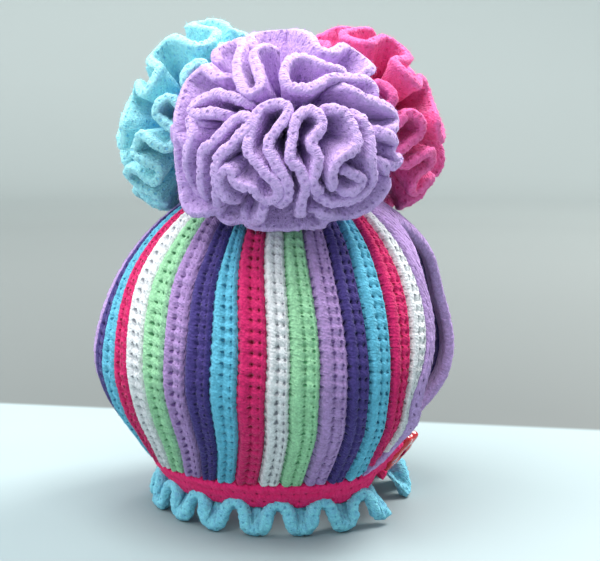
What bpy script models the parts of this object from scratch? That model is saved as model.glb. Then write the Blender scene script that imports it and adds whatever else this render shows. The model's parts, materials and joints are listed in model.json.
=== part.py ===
"""A crocheted tea cosy: two striped panels round a globe teapot, ruffled flowers on top, a frilled hem below.

Sizes are in millimetres and scaled to metres as each mesh is made. +Z is up. The handle opening
faces +X, the spout opening faces -X and the front panel faces -Y. The cosy stands on its frill
at z = 0, and the origin is on its own axis.
"""

import math

import bmesh
import bpy
import numpy as np
from mathutils import Matrix, Vector

MM = 0.001
GAP = 0.3  # between pieces that touch

# The cloth's outer face, from the frill's stitching line up to the drawn-in crown.
PROFILE = [  # height, radius
    (7.5, 46.0),
    (19.5, 54.5),
    (34.0, 64.5),
    (48.0, 73.5),
    (64.0, 78.0),
    (82.0, 75.0),
    (100.0, 66.5),
    (116.0, 53.5),
    (129.0, 36.0),
    (136.5, 18.0),
    (138.5, 5.0),
]
CLOTH = 4.0  # thickness on the crest of a stripe
UNEVEN = 0.5  # how far hand work strays from a true round
# Depth, middle and half-width in degrees, then the heights where it starts, is full, eases and ends.
DRAWN_IN = [
    (12.0, 4.0, 58.0, 6.0, 19.0, 27.0, 52.0),  # under the handle, by the buttoned tab
    (5.0, 22.0, 40.0, 30.0, 50.0, 84.0, 112.0),  # behind the handle, where the edge is stretched flat
]

HEM_Z, MIDRIFF_Z, CROWN_Z = 19.5, 68.0, 120.0  # the panels end and the band begins at the first
STRIPES = [  # from the spout: yarn, and relative width at the hem, the midriff and the crown
    ("purple", 8.0, 10.4, 7.6),
    ("turquoise", 8.0, 9.3, 7.6),
    ("pink", 8.0, 9.9, 7.6),
    ("white", 8.0, 8.8, 9.0),
    ("mint", 6.8, 11.1, 6.3),
    ("lilac", 6.8, 11.5, 8.4),
    ("purple", 8.5, 11.7, 6.2),
    ("turquoise", 8.6, 10.2, 5.4),
    ("pink", 7.9, 10.0, 8.4),
    ("white", 9.3, 9.1, 7.8),
    ("mint", 10.5, 11.1, 8.4),
    ("lilac", 8.2, 10.5, 8.0),
    ("purple", 9.4, 9.7, 8.2),
    ("turquoise", 6.6, 9.7, 7.6),
    ("pink", 8.0, 9.7, 8.6),
    ("white", 8.0, 8.4, 8.6),
]
GROOVE = 1.3  # depth between two stripes
PANEL_ROWS = 16
HEM_LEAN, CROWN_LEAN = 3.0, 2.0  # degrees that the stripes drift towards the spout from the midriff
YARNS = {  # colour of each yarn
    "pink": (0.68, 0.03, 0.16),
    "white": (0.85, 0.86, 0.88),
    "mint": (0.36, 0.74, 0.44),
    "lilac": (0.47, 0.30, 0.70),
    "purple": (0.09, 0.05, 0.28),
    "turquoise": (0.10, 0.52, 0.72),
}

# Each opening lies between the panels and has a strip worked round it.
STRIPES_END = [  # height, and width from the seam's line to the nearest stripe
    (19.5, 18.5),
    (34.0, 27.0),
    (50.0, 33.5),
    (68.0, 36.5),
    (84.0, 35.0),
    (102.0, 27.0),
    (120.0, 16.5),
    (132.0, 8.0),
    (138.5, 2.0),
]
EDGING = 10.0  # width of the strip
EDGING_STATIONS = 16  # up one side
EDGING_INSET = 0.85  # keeps the strip clear of the panels' straight-sided facets
EDGING_TOP, HOLE_TOP = 134.0, 119.0
SPOUT_HOLE_LOW = 31.0  # below it the strip's two sides are sewn together
HEM_SHARE = 0.14  # of the strip's run, along the hem below the spout
# The handle strip's front end turns in under the panel's corner.
CORNER_FROM, CORNER_TO, CORNER_RISE = -48.0, -28.0, 6.5
CORNER_STATIONS = 5

# The band goes once round and overlaps itself under the handle, where it buttons.
BAND_HEIGHT = 12.0
BAND_THICK = 3.2
BAND_FROM, BAND_TO = -366.0, 12.0  # degrees
BAND_STATIONS = 84
TAB_RISE = 12.5  # how far its buttoned end climbs
TAB_RISES_FROM, TAB_RISES_TO = -44.0, -8.0
TAB_LIFT = CLOTH
TAB_LIFTS_FROM, TAB_LIFTS_TO = -24.0, -10.0

# The frill waves round the band's lower edge.
LOBE_PITCH = 20.0  # degrees
FIRST_LOBE, LAST_LOBE = -348.0, -28.0
STATIONS_PER_LOBE = 8
FRILL_THICK = 4.4
FRILL_REACH, FRILL_WAVE = 51.0, 4.2  # mean radius of the rim, and how far it waves in and out
ARCH_RISE = 5.6  # height of the rim between two lobes

# The button.
BUTTON_RADIUS, PETAL_DEPTH, PETALS = 9.3, 1.2, 6
BUTTON_THICK = 3.0
BUTTON_PHI = 4.0

# Three flowers lean on one another round the crown.
FLOWERS = [  # name; direction, distance, height of its middle; lean of its face; radius across
    ("flower_lilac", -74.0, 36.0, 158.0, 42.0, 44.0),
    ("flower_pink", 46.0, 38.5, 158.0, 52.0, 42.5),
    ("flower_turquoise", 166.0, 38.5, 158.0, 52.0, 42.5),
]
FLOWER_FRONT, FLOWER_BACK = 28.5, 36.0  # depth before its middle and behind it
FLOWER_STEM = 22.0  # how much further its back reaches where it is sewn to the crown
RUFFLES = [  # folds, polar angle of the inner and outer turns, unevenness of the turns, all in degrees
    (8, 26.0, 74.0, 5.0),
    (13, 83.0, 117.0, 4.0),
]
RUFFLE_THICK = 5.0
HEART, RUFFLE_DEPTH = 0.68, 0.58  # the heart's size and the folds' root, as shares of the radius
SAMPLES_PER_FOLD = 8
FOLD_LOOP = 0.3  # 0 gives a plain wave, 0.5 gives folds with parallel sides


def clear_scene():
    for old in list(bpy.data.objects):
        bpy.data.objects.remove(old, do_unlink=True)


def yarn_material(name, colour, roughness=0.9, sheen=0.4):
    material = bpy.data.materials.new(name)
    material.use_nodes = True
    shader = material.node_tree.nodes["Principled BSDF"]
    shader.inputs["Base Color"].default_value = (*colour, 1.0)
    shader.inputs["Roughness"].default_value = roughness
    shader.inputs["Sheen Weight"].default_value = sheen
    return material


def add_object(name, mesh, materials, parent):
    """Make the mesh face outwards and hang its object under the parent."""
    work = bmesh.new()
    work.from_mesh(mesh)
    bmesh.ops.recalc_face_normals(work, faces=work.faces)
    if work.calc_volume(signed=True) < 0:
        bmesh.ops.reverse_faces(work, faces=work.faces)
    work.to_mesh(mesh)
    work.free()
    for material in materials:
        mesh.materials.append(material)
    mesh.shade_smooth()
    mesh.set_sharp_from_angle(angle=math.radians(50))
    made = bpy.data.objects.new(name, mesh)
    bpy.context.scene.collection.objects.link(made)
    made.parent = parent
    return made


def mesh_of(name, points, faces):
    """A mesh from points in millimetres."""
    mesh = bpy.data.meshes.new(name)
    mesh.from_pydata([Vector(p) * MM for p in points], [], faces)
    return mesh


def ease(value, start, end):
    """0 before start and 1 after end, with a smooth step between."""
    share = min(max((value - start) / (end - start), 0.0), 1.0)
    return share * share * (3.0 - 2.0 * share)


def through(points, steps=12):
    """A smooth curve through the points."""
    ends = [2 * points[0] - points[1], *points, 2 * points[-1] - points[-2]]
    curve = []
    for before, start, end, after in zip(ends, ends[1:], ends[2:], ends[3:]):
        for step in range(steps):
            t = step / steps
            curve.append(
                0.5 * (2 * start + (end - before) * t)
                + 0.5 * (2 * before - 5 * start + 4 * end - after) * t**2
                + 0.5 * (3 * start - before - 3 * end + after) * t**3
            )
    return np.array([*curve, points[-1]])


OUTLINE = through([np.array(row) for row in PROFILE])
ALONG = np.concatenate([[0.0], np.cumsum(np.linalg.norm(np.diff(OUTLINE, axis=0), axis=1))])
SLOPE = np.gradient(OUTLINE, ALONG, axis=0)

# The crown under the flowers is close to a sphere, which seats their undersides on the cloth.
GLOBE_Z = 62.0
CROWN = [(z, r) for z, r in OUTLINE if r < 60.0 and z > GLOBE_Z]
GLOBE_RADIUS = max(math.hypot(r, z - GLOBE_Z) for z, r in CROWN) + 1.5 * GAP


def height_at(along):
    return float(np.interp(along, ALONG, OUTLINE[:, 0]))


def radius_at(along):
    return float(np.interp(along, ALONG, OUTLINE[:, 1]))


def along_at(height):
    return float(np.interp(height, OUTLINE[:, 0], ALONG))


def on_cloth(degrees, along, lift=0.0):
    """A point over the cloth: degrees round the axis, length up the profile, height off its outer face."""
    up = float(np.interp(along, ALONG, SLOPE[:, 0]))
    out = float(np.interp(along, ALONG, SLOPE[:, 1]))
    size = math.hypot(up, out)
    angle = math.radians(degrees)
    height = height_at(along)
    stray = UNEVEN * math.sin(2 * angle + 0.6) * math.sin(height / 21.0) * ease(radius_at(along), 20.0, 60.0)
    radius = radius_at(along) + stray - drawn_in_at(degrees, height) + lift * up / size
    return (
        radius * math.cos(angle),
        radius * math.sin(angle),
        height - lift * out / size,
    )


def drawn_in_at(degrees, height):
    """How far the cloth is drawn in below its full round."""
    total = 0.0
    for depth, middle, spread, starts, full, eases, ends in DRAWN_IN:
        away = (degrees - middle + 180.0) % 360.0 - 180.0
        if abs(away) < spread:
            across = math.cos(math.pi / 2 * away / spread) ** 2
            total += depth * across * ease(height, starts, full) * (1.0 - ease(height, eases, ends))
    return total


def lean_at(height):
    below = min(max((MIDRIFF_Z - height) / (MIDRIFF_Z - HEM_Z), 0.0), 1.0)
    above = min(max((height - MIDRIFF_Z) / (CROWN_Z - MIDRIFF_Z), 0.0), 1.0)
    return -HEM_LEAN * below**2 - CROWN_LEAN * above**2


STRIPES_END_LINE = through([np.array(row) for row in STRIPES_END])


def stripes_end(height):
    """Width from the seam's line to the nearest stripe."""
    return float(np.interp(height, STRIPES_END_LINE[:, 0], STRIPES_END_LINE[:, 1]))


def stripe_edges(height):
    """Where each stripe starts and ends at this height, as shares of the panel's width."""
    hem, midriff, crown = (np.array(widths) for widths in list(zip(*STRIPES))[1:])
    low, high = 1.0 - ease(height, HEM_Z, MIDRIFF_Z), ease(height, MIDRIFF_Z, CROWN_Z)
    widths = low * hem / hem.sum() + high * crown / crown.sum() + (1.0 - low - high) * midriff / midriff.sum()
    return np.concatenate([[0.0], np.cumsum(widths)])


def tab_rise(degrees):
    return TAB_RISE * ease(degrees, TAB_RISES_FROM, TAB_RISES_TO)


def hem_along(degrees):
    """The line just above the band, which follows the tab up."""
    rise = tab_rise(degrees) if degrees < BAND_TO else 0.0
    return along_at(HEM_Z) + 0.75 * GAP + rise + 0.8 * min(rise, 1.0)


def corner_rise(degrees):
    return CORNER_RISE * ease(degrees, CORNER_FROM, CORNER_TO)


def band_middle(degrees):
    return along_at(HEM_Z) - GAP / 2 - BAND_HEIGHT / 2 + tab_rise(degrees)


def panel(name, first_angle, at_front, materials, parent):
    """The upright stripes from hem to crown, ribbed outside and plain inside."""
    crown = ALONG[-1]
    columns = 3 * len(STRIPES)
    outer, inner = [], []
    for column in range(columns + 1):
        stripe, third = min(column // 3, len(STRIPES) - 1), column / 3.0
        hem_share = float(np.interp(third, range(len(STRIPES) + 1), stripe_edges(HEM_Z)))
        margin = math.degrees(stripes_end(HEM_Z) / radius_at(along_at(HEM_Z)))
        hem_degrees = first_angle - HEM_LEAN + margin + (180.0 - 2.0 * margin) * hem_share
        hem = along_at(HEM_Z) + 0.75 * GAP
        if at_front:
            hem = hem_along(hem_degrees) + corner_rise(hem_degrees)
        for row in range(PANEL_ROWS + 1):
            along = hem + (crown - hem) * row / PANEL_ROWS
            height, radius = height_at(along), radius_at(along)
            margin = math.degrees(stripes_end(height) / radius)
            edges = stripe_edges(height)
            share = float(np.interp(third, range(len(edges)), edges))
            degrees = first_angle + lean_at(height) + margin + (180.0 - 2.0 * margin) * share
            width = math.radians(180.0 - 2.0 * margin) * radius * (edges[stripe + 1] - edges[stripe])
            outer.append(on_cloth(degrees, along, 0.0 if column % 3 else -min(GROOVE, 0.25 * width)))
            if column % 3 == 0:
                inner.append(on_cloth(degrees, along, -CLOTH))
    rows = PANEL_ROWS + 1
    base = len(outer)
    order = list(YARNS)
    faces, colours = [], []

    def add(face, stripe):
        faces.append(face)
        colours.append(order.index(STRIPES[stripe][0]))

    for column in range(columns):
        for row in range(PANEL_ROWS):
            a = column * rows + row
            add((a, a + rows, a + rows + 1, a + 1), column // 3)
    for stripe in range(len(STRIPES)):
        for row in range(PANEL_ROWS):
            a = base + stripe * rows + row
            add((a, a + 1, a + rows + 1, a + rows), stripe)
        for row in (0, PANEL_ROWS):
            rim = [(3 * stripe + step) * rows + row for step in range(4)]
            back = [base + (stripe + 1) * rows + row, base + stripe * rows + row]
            add((*rim, *back), stripe)
    for row in range(PANEL_ROWS):
        for a, b in ((row, base + row), (columns * rows + row, base + len(STRIPES) * rows + row)):
            add((a, a + 1, b + 1, b), 0 if a == row else len(STRIPES) - 1)
    mesh = mesh_of(name, outer + inner, faces)
    mesh.polygons.foreach_set("material_index", colours)
    return add_object(name, mesh, materials, parent)


def tube_of(name, sections, materials, parent, loop=False):
    """One closed solid from a row of like cross-sections, capped at its ends or joined into a loop."""
    size = len(sections[0])
    points = [point for section in sections for point in section]
    faces = []
    for at in range(len(sections) if loop else len(sections) - 1):
        here, there = at * size, (at + 1) % len(sections) * size
        for side in range(size):
            other = (side + 1) % size
            faces.append((here + side, here + other, there + other, there + side))
    if not loop:
        faces.append(tuple(range(size)))
        faces.append(tuple(range(len(points) - size, len(points)))[::-1])
    return add_object(name, mesh_of(name, points, faces), materials, parent)


def beside_seam(seam, side, width, along):
    """A place on the cloth that lies this far to one side of a seam, as degrees and length up the profile."""
    return seam + lean_at(height_at(along)) + side * math.degrees(width / radius_at(along)), along


def strip_section(outer, inner):
    """The strip's section from its edge beside the stripes to its edge at the hole."""
    section = []
    for part, lift in ((0.0, -0.5), (0.3, 0.2), (0.75, 0.2), (1.0, -1.2), (0.97, -CLOTH + 0.4), (0.0, -CLOTH)):
        degrees, along = (a + (b - a) * part for a, b in zip(outer, inner))
        section.append(on_cloth(degrees, along, lift))
    return section


def hole_half_width(along, low, high):
    """The hole keeps the strip's width and closes in a round end, at the bottom too if low isn't None."""
    width = max(stripes_end(height_at(along)) - EDGING, 1.0)
    closing = max(along / high, 0.0) ** 14
    if low is not None:
        rounded = 0.3 * (high - low)
        closing = max(closing, max(1.0 - (along - low) / rounded, 0.0) ** 3)
    return width * math.sqrt(max(1.0 - closing, 0.0))


def spout_edging(material, parent):
    """A closed loop. Below the hole its two sides are sewn together down to the hem."""
    low, high = along_at(HEM_Z) + GAP, along_at(EDGING_TOP)
    hole_low, hole_high = along_at(SPOUT_HOLE_LOW), along_at(HOLE_TOP)
    sections = []
    for station in range(2 * EDGING_STATIONS):
        run = (station + 0.5) / EDGING_STATIONS
        side = 1.0 if run < 1.0 else -1.0
        run = min(run, 2.0 - run)
        up = max(run - HEM_SHARE, 0.0) / (1.0 - HEM_SHARE)
        outer_along = low + (high - low) * up
        outer_width = (stripes_end(height_at(outer_along)) - EDGING_INSET) * min(run / HEM_SHARE, 1.0)
        hole_along = hole_low + (hole_high - hole_low) * (0.5 - 0.5 * math.cos(math.pi * run))
        hole_width = hole_half_width(hole_along, hole_low, hole_high)
        outer = beside_seam(180.0, side, outer_width, outer_along)
        sections.append(strip_section(outer, beside_seam(180.0, side, hole_width, hole_along)))
    return tube_of("spout_edging", sections, [material], parent, loop=True)


def arch_edges(side, up, high, hole_high):
    """The arch's two edges at a share of the way up one side."""
    rough = beside_seam(0.0, side, stripes_end(HEM_Z), along_at(HEM_Z))[0]
    low = hem_along(rough) + corner_rise(rough) if side < 0 else along_at(HEM_Z) + GAP
    outer_along = low + (high - low) * up
    outer_width = (stripes_end(height_at(outer_along)) - EDGING_INSET) * (1.0 - up**30)
    outer = beside_seam(0.0, side, outer_width, outer_along)
    hole_low = hem_along(rough + EDGING) if side < 0 else low
    hole_along = hole_low + (hole_high - hole_low) * up
    return outer, beside_seam(0.0, side, hole_half_width(hole_along, None, hole_high), hole_along)


def handle_edging(material, parent):
    """An arch, open below where the tab closes it. Its front end turns in under the panel's corner."""
    high, hole_high = along_at(EDGING_TOP), along_at(HOLE_TOP)
    sections = []
    corner = beside_seam(0.0, -1.0, stripes_end(height_at(hem_along(CORNER_TO))), 0.0)[0]
    for station in range(CORNER_STATIONS):
        degrees = corner - (corner - CORNER_FROM) * 0.6 * (1.0 - station / CORNER_STATIONS)
        hem = hem_along(degrees)
        outer = (degrees, hem + corner_rise(degrees) - EDGING_INSET)
        sections.append(strip_section(outer, (degrees + 4.0 * station / CORNER_STATIONS, hem + 2 * GAP)))
    for station in range(2 * EDGING_STATIONS + 1):
        run = 1.0 - station / EDGING_STATIONS
        side = -math.copysign(1.0, run)
        up = 1.0 - abs(run) ** 1.3
        sections.append(strip_section(*arch_edges(side, up, high, hole_high)))
    return tube_of("handle_edging", sections, [material], parent)


def band(material, parent):
    """The hem band, with its end lapped over its start and rounded into a buttoning tab."""
    sections = []
    for station in range(BAND_STATIONS + 1):
        degrees = BAND_FROM + (BAND_TO - BAND_FROM) * station / BAND_STATIONS
        lift = TAB_LIFT * ease(degrees, TAB_LIFTS_FROM, TAB_LIFTS_TO)
        left = min((BAND_TO - degrees) / 9.0, 1.0)
        half = 0.5 * BAND_HEIGHT * (0.3 + 0.7 * math.sqrt(1.0 - (1.0 - left) ** 2))
        middle = band_middle(degrees)
        low, high = max(middle - half, 0.0), middle + half
        section = [
            on_cloth(degrees, low, lift - 0.9),
            on_cloth(degrees, low + 0.22 * (high - low), lift),
            on_cloth(degrees, high - 0.22 * (high - low), lift),
            on_cloth(degrees, high, lift - 0.9),
            on_cloth(degrees, high, lift - BAND_THICK),
            on_cloth(degrees, low, lift - BAND_THICK),
        ]
        sections.append(section)
    return tube_of("base_band", sections, [material], parent)


def frill(material, parent):
    """The waved ribbon under the band. Each lobe has a flat spot that stands on the surface."""
    lobes = round((LAST_LOBE - FIRST_LOBE) / LOBE_PITCH)
    stations = lobes * STATIONS_PER_LOBE + 2
    stitched = along_at(HEM_Z) - BAND_HEIGHT - GAP
    half = FRILL_THICK / 2
    sections = []
    for station in range(stations + 1):
        degrees = FIRST_LOBE + (station - 1) * LOBE_PITCH / STATIONS_PER_LOBE
        wave = math.tanh(1.5 * (math.cos(math.radians(360.0 / LOBE_PITCH * (degrees - FIRST_LOBE))) + 0.35))
        rise = tab_rise(degrees)
        x, y, height = on_cloth(degrees, stitched + rise)
        top = (math.hypot(x, y), height)
        rim_z = ARCH_RISE * (0.5 - 0.5 * wave) ** 1.5
        if rim_z < 0.3:
            rim_z = 0.0
        reach = FRILL_REACH + FRILL_WAVE * wave + 0.4 * rise
        shape = [  # radius, height
            (top[0] - CLOTH + 0.6, top[1] - 0.3),
            (top[0] - 0.4, top[1] - 0.1),
            (0.5 * (top[0] + reach) + 1.4, 0.5 * (top[1] + rim_z + half) + 2.6),
            (reach + half, rim_z + half + 0.9),
            (reach + 0.55 * half, rim_z),
            (reach - 0.9 * half, rim_z),
            (0.5 * (top[0] + reach) - 2.0, 0.5 * (top[1] + rim_z) - 0.6),
        ]
        angle = math.radians(degrees)
        sections.append([(r * math.cos(angle), r * math.sin(angle), z) for r, z in shape])
    return tube_of("frill", sections, [material], parent)


def button_seat():
    """Where the button's back lies, clear of the tab's highest spot, and the way it faces."""

    def on_tab(degrees, along):
        return Vector(on_cloth(BUTTON_PHI + degrees, band_middle(BUTTON_PHI) + along, TAB_LIFT))

    middle = on_tab(0.0, 0.0)
    out = (on_tab(4.0, 0.0) - on_tab(-4.0, 0.0)).cross(on_tab(0.0, 4.0) - on_tab(0.0, -4.0)).normalized()
    round_about = [step / 4.0 for step in range(-4, 5)]
    spread = math.degrees((BUTTON_RADIUS + PETAL_DEPTH) / radius_at(along_at(HEM_Z)))
    highest = max(
        (on_tab(a * spread, b * BAND_HEIGHT / 2) - middle).dot(out) for a in round_about for b in round_about
    )
    return middle + out * (highest + GAP), out


def button(material, parent):
    """A domed flower button with two sewing holes, lying on the tab."""
    steps = 8 * PETALS
    rings = [(1.0, 0.0), (1.0, 0.55), (0.9, 0.9), (0.62, 1.0), (0.45, 0.72)]  # share of radius, of thickness
    points, faces = [], []
    for reach, height in rings:
        for step in range(steps):
            turn = 2 * math.pi * step / steps
            scallop = PETAL_DEPTH * math.cos(PETALS * turn) * ease(reach, 0.45, 0.9)
            radius = reach * BUTTON_RADIUS + scallop
            points.append((radius * math.cos(turn), radius * math.sin(turn), height * BUTTON_THICK))
    for ring in range(len(rings) - 1):
        for step in range(steps):
            a, b = ring * steps + step, ring * steps + (step + 1) % steps
            faces.append((a, b, b + steps, a + steps))
    faces.append(tuple(range(steps))[::-1])
    faces.append(tuple(range(len(points) - steps, len(points))))
    made = add_object("button", mesh_of("button", points, faces), [material], parent)
    for side in (-1, 1):
        drill = bmesh.new()
        bmesh.ops.create_cone(
            drill,
            cap_ends=True,
            segments=10,
            radius1=1.0 * MM,
            radius2=1.0 * MM,
            depth=4 * BUTTON_THICK * MM,
            matrix=Matrix.Translation((0.0, side * 1.9 * MM, 0.0)),
        )
        mesh = bpy.data.meshes.new("button_hole")
        drill.to_mesh(mesh)
        drill.free()
        cutter = add_object(f"button_hole_{side}", mesh, [], made)
        cutter.hide_render = True
        cutter.display_type = "WIRE"
        cut = made.modifiers.new("hole", "BOOLEAN")
        cut.operation = "DIFFERENCE"
        cut.object = cutter
    seat, out = button_seat()
    made.matrix_local = Matrix.Translation(seat * MM) @ out.to_track_quat("Z", "Y").to_matrix().to_4x4()
    return made


def flower_frame(direction, distance, height, lean, across):
    """The middle of a flower, the way it faces and the two axes across it."""
    angle, tilt = math.radians(direction), math.radians(lean)
    outward = Vector((math.cos(angle), math.sin(angle), 0.0))
    sideways = Vector((-math.sin(angle), math.cos(angle), 0.0))
    facing = outward * math.sin(tilt) + Vector((0, 0, math.cos(tilt)))
    return {
        "direction": direction,
        "across": across,
        "middle": outward * distance + Vector((0, 0, height)),
        "axes": (sideways.cross(facing), sideways),
        "facing": facing,
    }


def flower_reach(flower, towards):
    """How far a flower reaches: its own round, held back by the crown below and by the flowers beside it."""
    direction, across = flower["direction"], flower["across"]
    middle, facing = flower["middle"], flower["facing"]
    ahead = towards.dot(facing)
    sideways = math.sqrt(max(1.0 - ahead * ahead, 0.0))
    deep = FLOWER_FRONT if ahead > 0 else FLOWER_BACK + FLOWER_STEM * ease(-ahead, 0.55, 0.9)
    limits = [1.0 / math.hypot(sideways / across, ahead / deep)]
    for turn in (-60.0, 60.0):
        angle = math.radians(direction + turn)
        wall = Vector((-math.sin(angle), math.cos(angle), 0.0)) * math.copysign(1.0, turn)
        speed = towards.dot(wall)
        if speed > 0.02:
            limits.append((-middle.dot(wall) - GAP / 2) / speed)
    offset = middle - Vector((0.0, 0.0, GLOBE_Z))
    along = -offset.dot(towards)
    miss = offset.length_squared - along * along
    if along > 0 and miss < GLOBE_RADIUS**2:
        limits.append(along - math.sqrt(GLOBE_RADIUS**2 - miss))
    return sum((limit / across) ** -16 for limit in limits) ** (-1 / 16) * across


def ruffle_path(folds, inner, outer, uneven, seed):
    """A closed line of polar angle and turn that loops in and out round the flower's face."""
    path = []
    for step in range(folds * SAMPLES_PER_FOLD):
        t = 2 * math.pi * (step + 0.5) / SAMPLES_PER_FOLD
        turn = (t + FOLD_LOOP * math.sin(2 * t)) / folds
        stray = uneven * math.sin(2.0 * turn + 1.7 * seed) + 0.6 * uneven * math.sin(3.0 * turn + seed)
        middle, swing = 0.5 * (inner + outer), 0.5 * (outer - inner)
        shorter = 1.0 - 0.28 * math.sin(0.5 * folds * turn + 2.3 * seed) ** 2
        path.append((math.radians(middle - swing * shorter * math.cos(t) + stray), turn + 0.4 * seed))
    return path


def ruffle_direction(flower, polar, turn):
    first, second = flower["axes"]
    spread = (first * math.cos(turn) + second * math.sin(turn)) * flower["across"]
    deep = FLOWER_FRONT if polar < math.pi / 2 else FLOWER_BACK
    return (spread * math.sin(polar) + flower["facing"] * math.cos(polar) * deep).normalized()


def flower(name, frame, material, parent, seed):
    """A crocheted ruffle: walls that stand on a round heart and loop in and out in two rounds."""

    def at(towards, share):
        return frame["middle"] + towards * flower_reach(frame, towards) * share

    ball = bmesh.new()
    bmesh.ops.create_icosphere(ball, subdivisions=3, radius=1.0)
    for point in ball.verts:
        towards = point.co.normalized()
        backward = ease(-towards.dot(frame["facing"]), 0.35, 0.75)
        point.co = at(towards, HEART + (1.0 - HEART) * backward) * MM
    mesh = bpy.data.meshes.new(name)
    ball.to_mesh(mesh)
    ball.free()
    made = add_object(name, mesh, [material], parent)
    for index, (folds, inner, outer, uneven) in enumerate(RUFFLES):
        places = ruffle_path(folds, inner, outer, uneven, seed + index)
        path = [ruffle_direction(frame, *place) for place in places]
        sections = []
        for place, towards in enumerate(path):
            tangent = path[(place + 1) % len(path)] - path[place - 1]
            side = towards.cross(tangent).normalized() * RUFFLE_THICK / (2 * frame["across"])
            left, right = (towards + side).normalized(), (towards - side).normalized()
            sections.append([at(left, RUFFLE_DEPTH), at(left, 1.0), at(right, 1.0), at(right, RUFFLE_DEPTH)])
        fold = tube_of(f"{name}_ruffle_{index}", sections, [], made, loop=True)
        fold.hide_render = True
        fold.display_type = "WIRE"
        join = made.modifiers.new("ruffle", "BOOLEAN")
        join.operation = "UNION"
        join.solver = "MANIFOLD"
        join.object = fold
    return made


def main():
    clear_scene()
    bpy.context.scene.unit_settings.scale_length = 1.0
    cosy = bpy.data.objects.new("tea_cosy", None)
    bpy.context.scene.collection.objects.link(cosy)
    yarns = {name: yarn_material(f"{name}_yarn", colour) for name, colour in YARNS.items()}
    panel("front_panel", -180.0, True, yarns.values(), cosy)
    panel("back_panel", 0.0, False, yarns.values(), cosy)
    handle_edging(yarns["lilac"], cosy)
    spout_edging(yarns["lilac"], cosy)
    band(yarns["pink"], cosy)
    frill(yarns["turquoise"], cosy)
    button(yarn_material("red_plastic", (0.62, 0.02, 0.03), 0.18, 0.0), cosy)
    for seed, (name, *place) in enumerate(FLOWERS):
        flower(name, flower_frame(*place), yarns[name.split("_")[1]], cosy, seed)


main()
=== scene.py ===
# %% [markdown]
# # A crocheted tea cosy
# Two striped panels stand round a globe teapot that has been taken away. Three ruffled flowers
# sit on the crown, a pink band gathers the hem, and a turquoise frill stands on the table.
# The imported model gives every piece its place. This lesson loads it as a fixed frame and then
# dresses it: each solid is replaced by a finer piece of the same form, with its stitches.

# %% Load the frame
import json
import math

import bpy
import numpy as np
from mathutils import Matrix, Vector

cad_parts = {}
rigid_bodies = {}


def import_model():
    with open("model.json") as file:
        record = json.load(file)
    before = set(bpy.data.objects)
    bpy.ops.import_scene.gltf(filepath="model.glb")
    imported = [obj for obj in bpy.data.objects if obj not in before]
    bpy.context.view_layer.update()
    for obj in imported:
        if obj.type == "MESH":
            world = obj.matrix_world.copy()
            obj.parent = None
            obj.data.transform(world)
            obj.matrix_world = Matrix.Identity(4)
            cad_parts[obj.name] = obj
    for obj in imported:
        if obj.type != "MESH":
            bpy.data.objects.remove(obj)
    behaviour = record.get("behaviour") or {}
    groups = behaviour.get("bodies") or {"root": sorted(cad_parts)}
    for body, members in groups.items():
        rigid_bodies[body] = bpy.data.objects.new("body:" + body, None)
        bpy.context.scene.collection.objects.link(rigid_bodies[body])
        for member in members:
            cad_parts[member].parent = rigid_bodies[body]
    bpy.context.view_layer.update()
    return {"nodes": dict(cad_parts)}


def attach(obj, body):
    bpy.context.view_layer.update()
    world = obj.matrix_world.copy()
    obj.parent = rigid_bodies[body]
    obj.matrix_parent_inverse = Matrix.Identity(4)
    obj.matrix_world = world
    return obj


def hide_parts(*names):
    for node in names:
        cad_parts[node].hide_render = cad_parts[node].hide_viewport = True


for old in list(bpy.data.objects):  # Blender's own cube, lamp and camera
    bpy.data.objects.remove(old, do_unlink=True)
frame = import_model()
MM = 0.001
print("nodes in the frame:", sorted(frame["nodes"]))

# %% [markdown]
# ## The camera
# A product picture is taken from a little above the table with a long lens, which keeps the
# round body from looking swollen. The camera stands half a metre away and looks slightly down.

# %% Set the camera
CAMERA_AWAY, CAMERA_HEIGHT = 0.525, 0.170  # metres
CAMERA_ROUND, CAMERA_TURN, CAMERA_DOWN = 14.4, 13.63, 8.34  # degrees
LENS, SENSOR = 76.08, 36.0  # millimetres


def add_object(name, data):
    """Put an object with this data into the scene."""
    made = bpy.data.objects.new(name, data)
    bpy.context.scene.collection.objects.link(made)
    return made


camera_data = bpy.data.cameras.new("camera")
camera_data.lens, camera_data.sensor_width = LENS, SENSOR
camera_data.clip_start, camera_data.clip_end = 0.01, 20.0
camera = add_object("camera", camera_data)
camera.location = (
    CAMERA_AWAY * math.sin(math.radians(CAMERA_ROUND)),
    -CAMERA_AWAY * math.cos(math.radians(CAMERA_ROUND)),
    CAMERA_HEIGHT,
)
camera.rotation_euler = (math.radians(90.0 - CAMERA_DOWN), 0.0, math.radians(CAMERA_TURN))
bpy.context.scene.camera = camera
print("camera at", tuple(round(c, 3) for c in camera.location))

# %% [markdown]
# ## The cloth's form
# The body is a surface of revolution that strays a little from a true round. It could be
# sculpted, but the seams, the stripes and the openings all lie on it, so it is made as a
# function: give it degrees round the axis, a length up the profile and a height off the face,
# and it gives back points. Every piece of cloth below is drawn with this one function.

# %% Describe the profile of the body
PROFILE = [  # height, radius in millimetres
    (7.5, 46.0), (19.5, 54.5), (34.0, 64.5), (48.0, 73.5), (64.0, 78.0), (82.0, 75.0), (100.0, 66.5),
    (116.0, 53.5), (129.0, 36.0), (136.5, 18.0), (138.5, 5.0),
]


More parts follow.
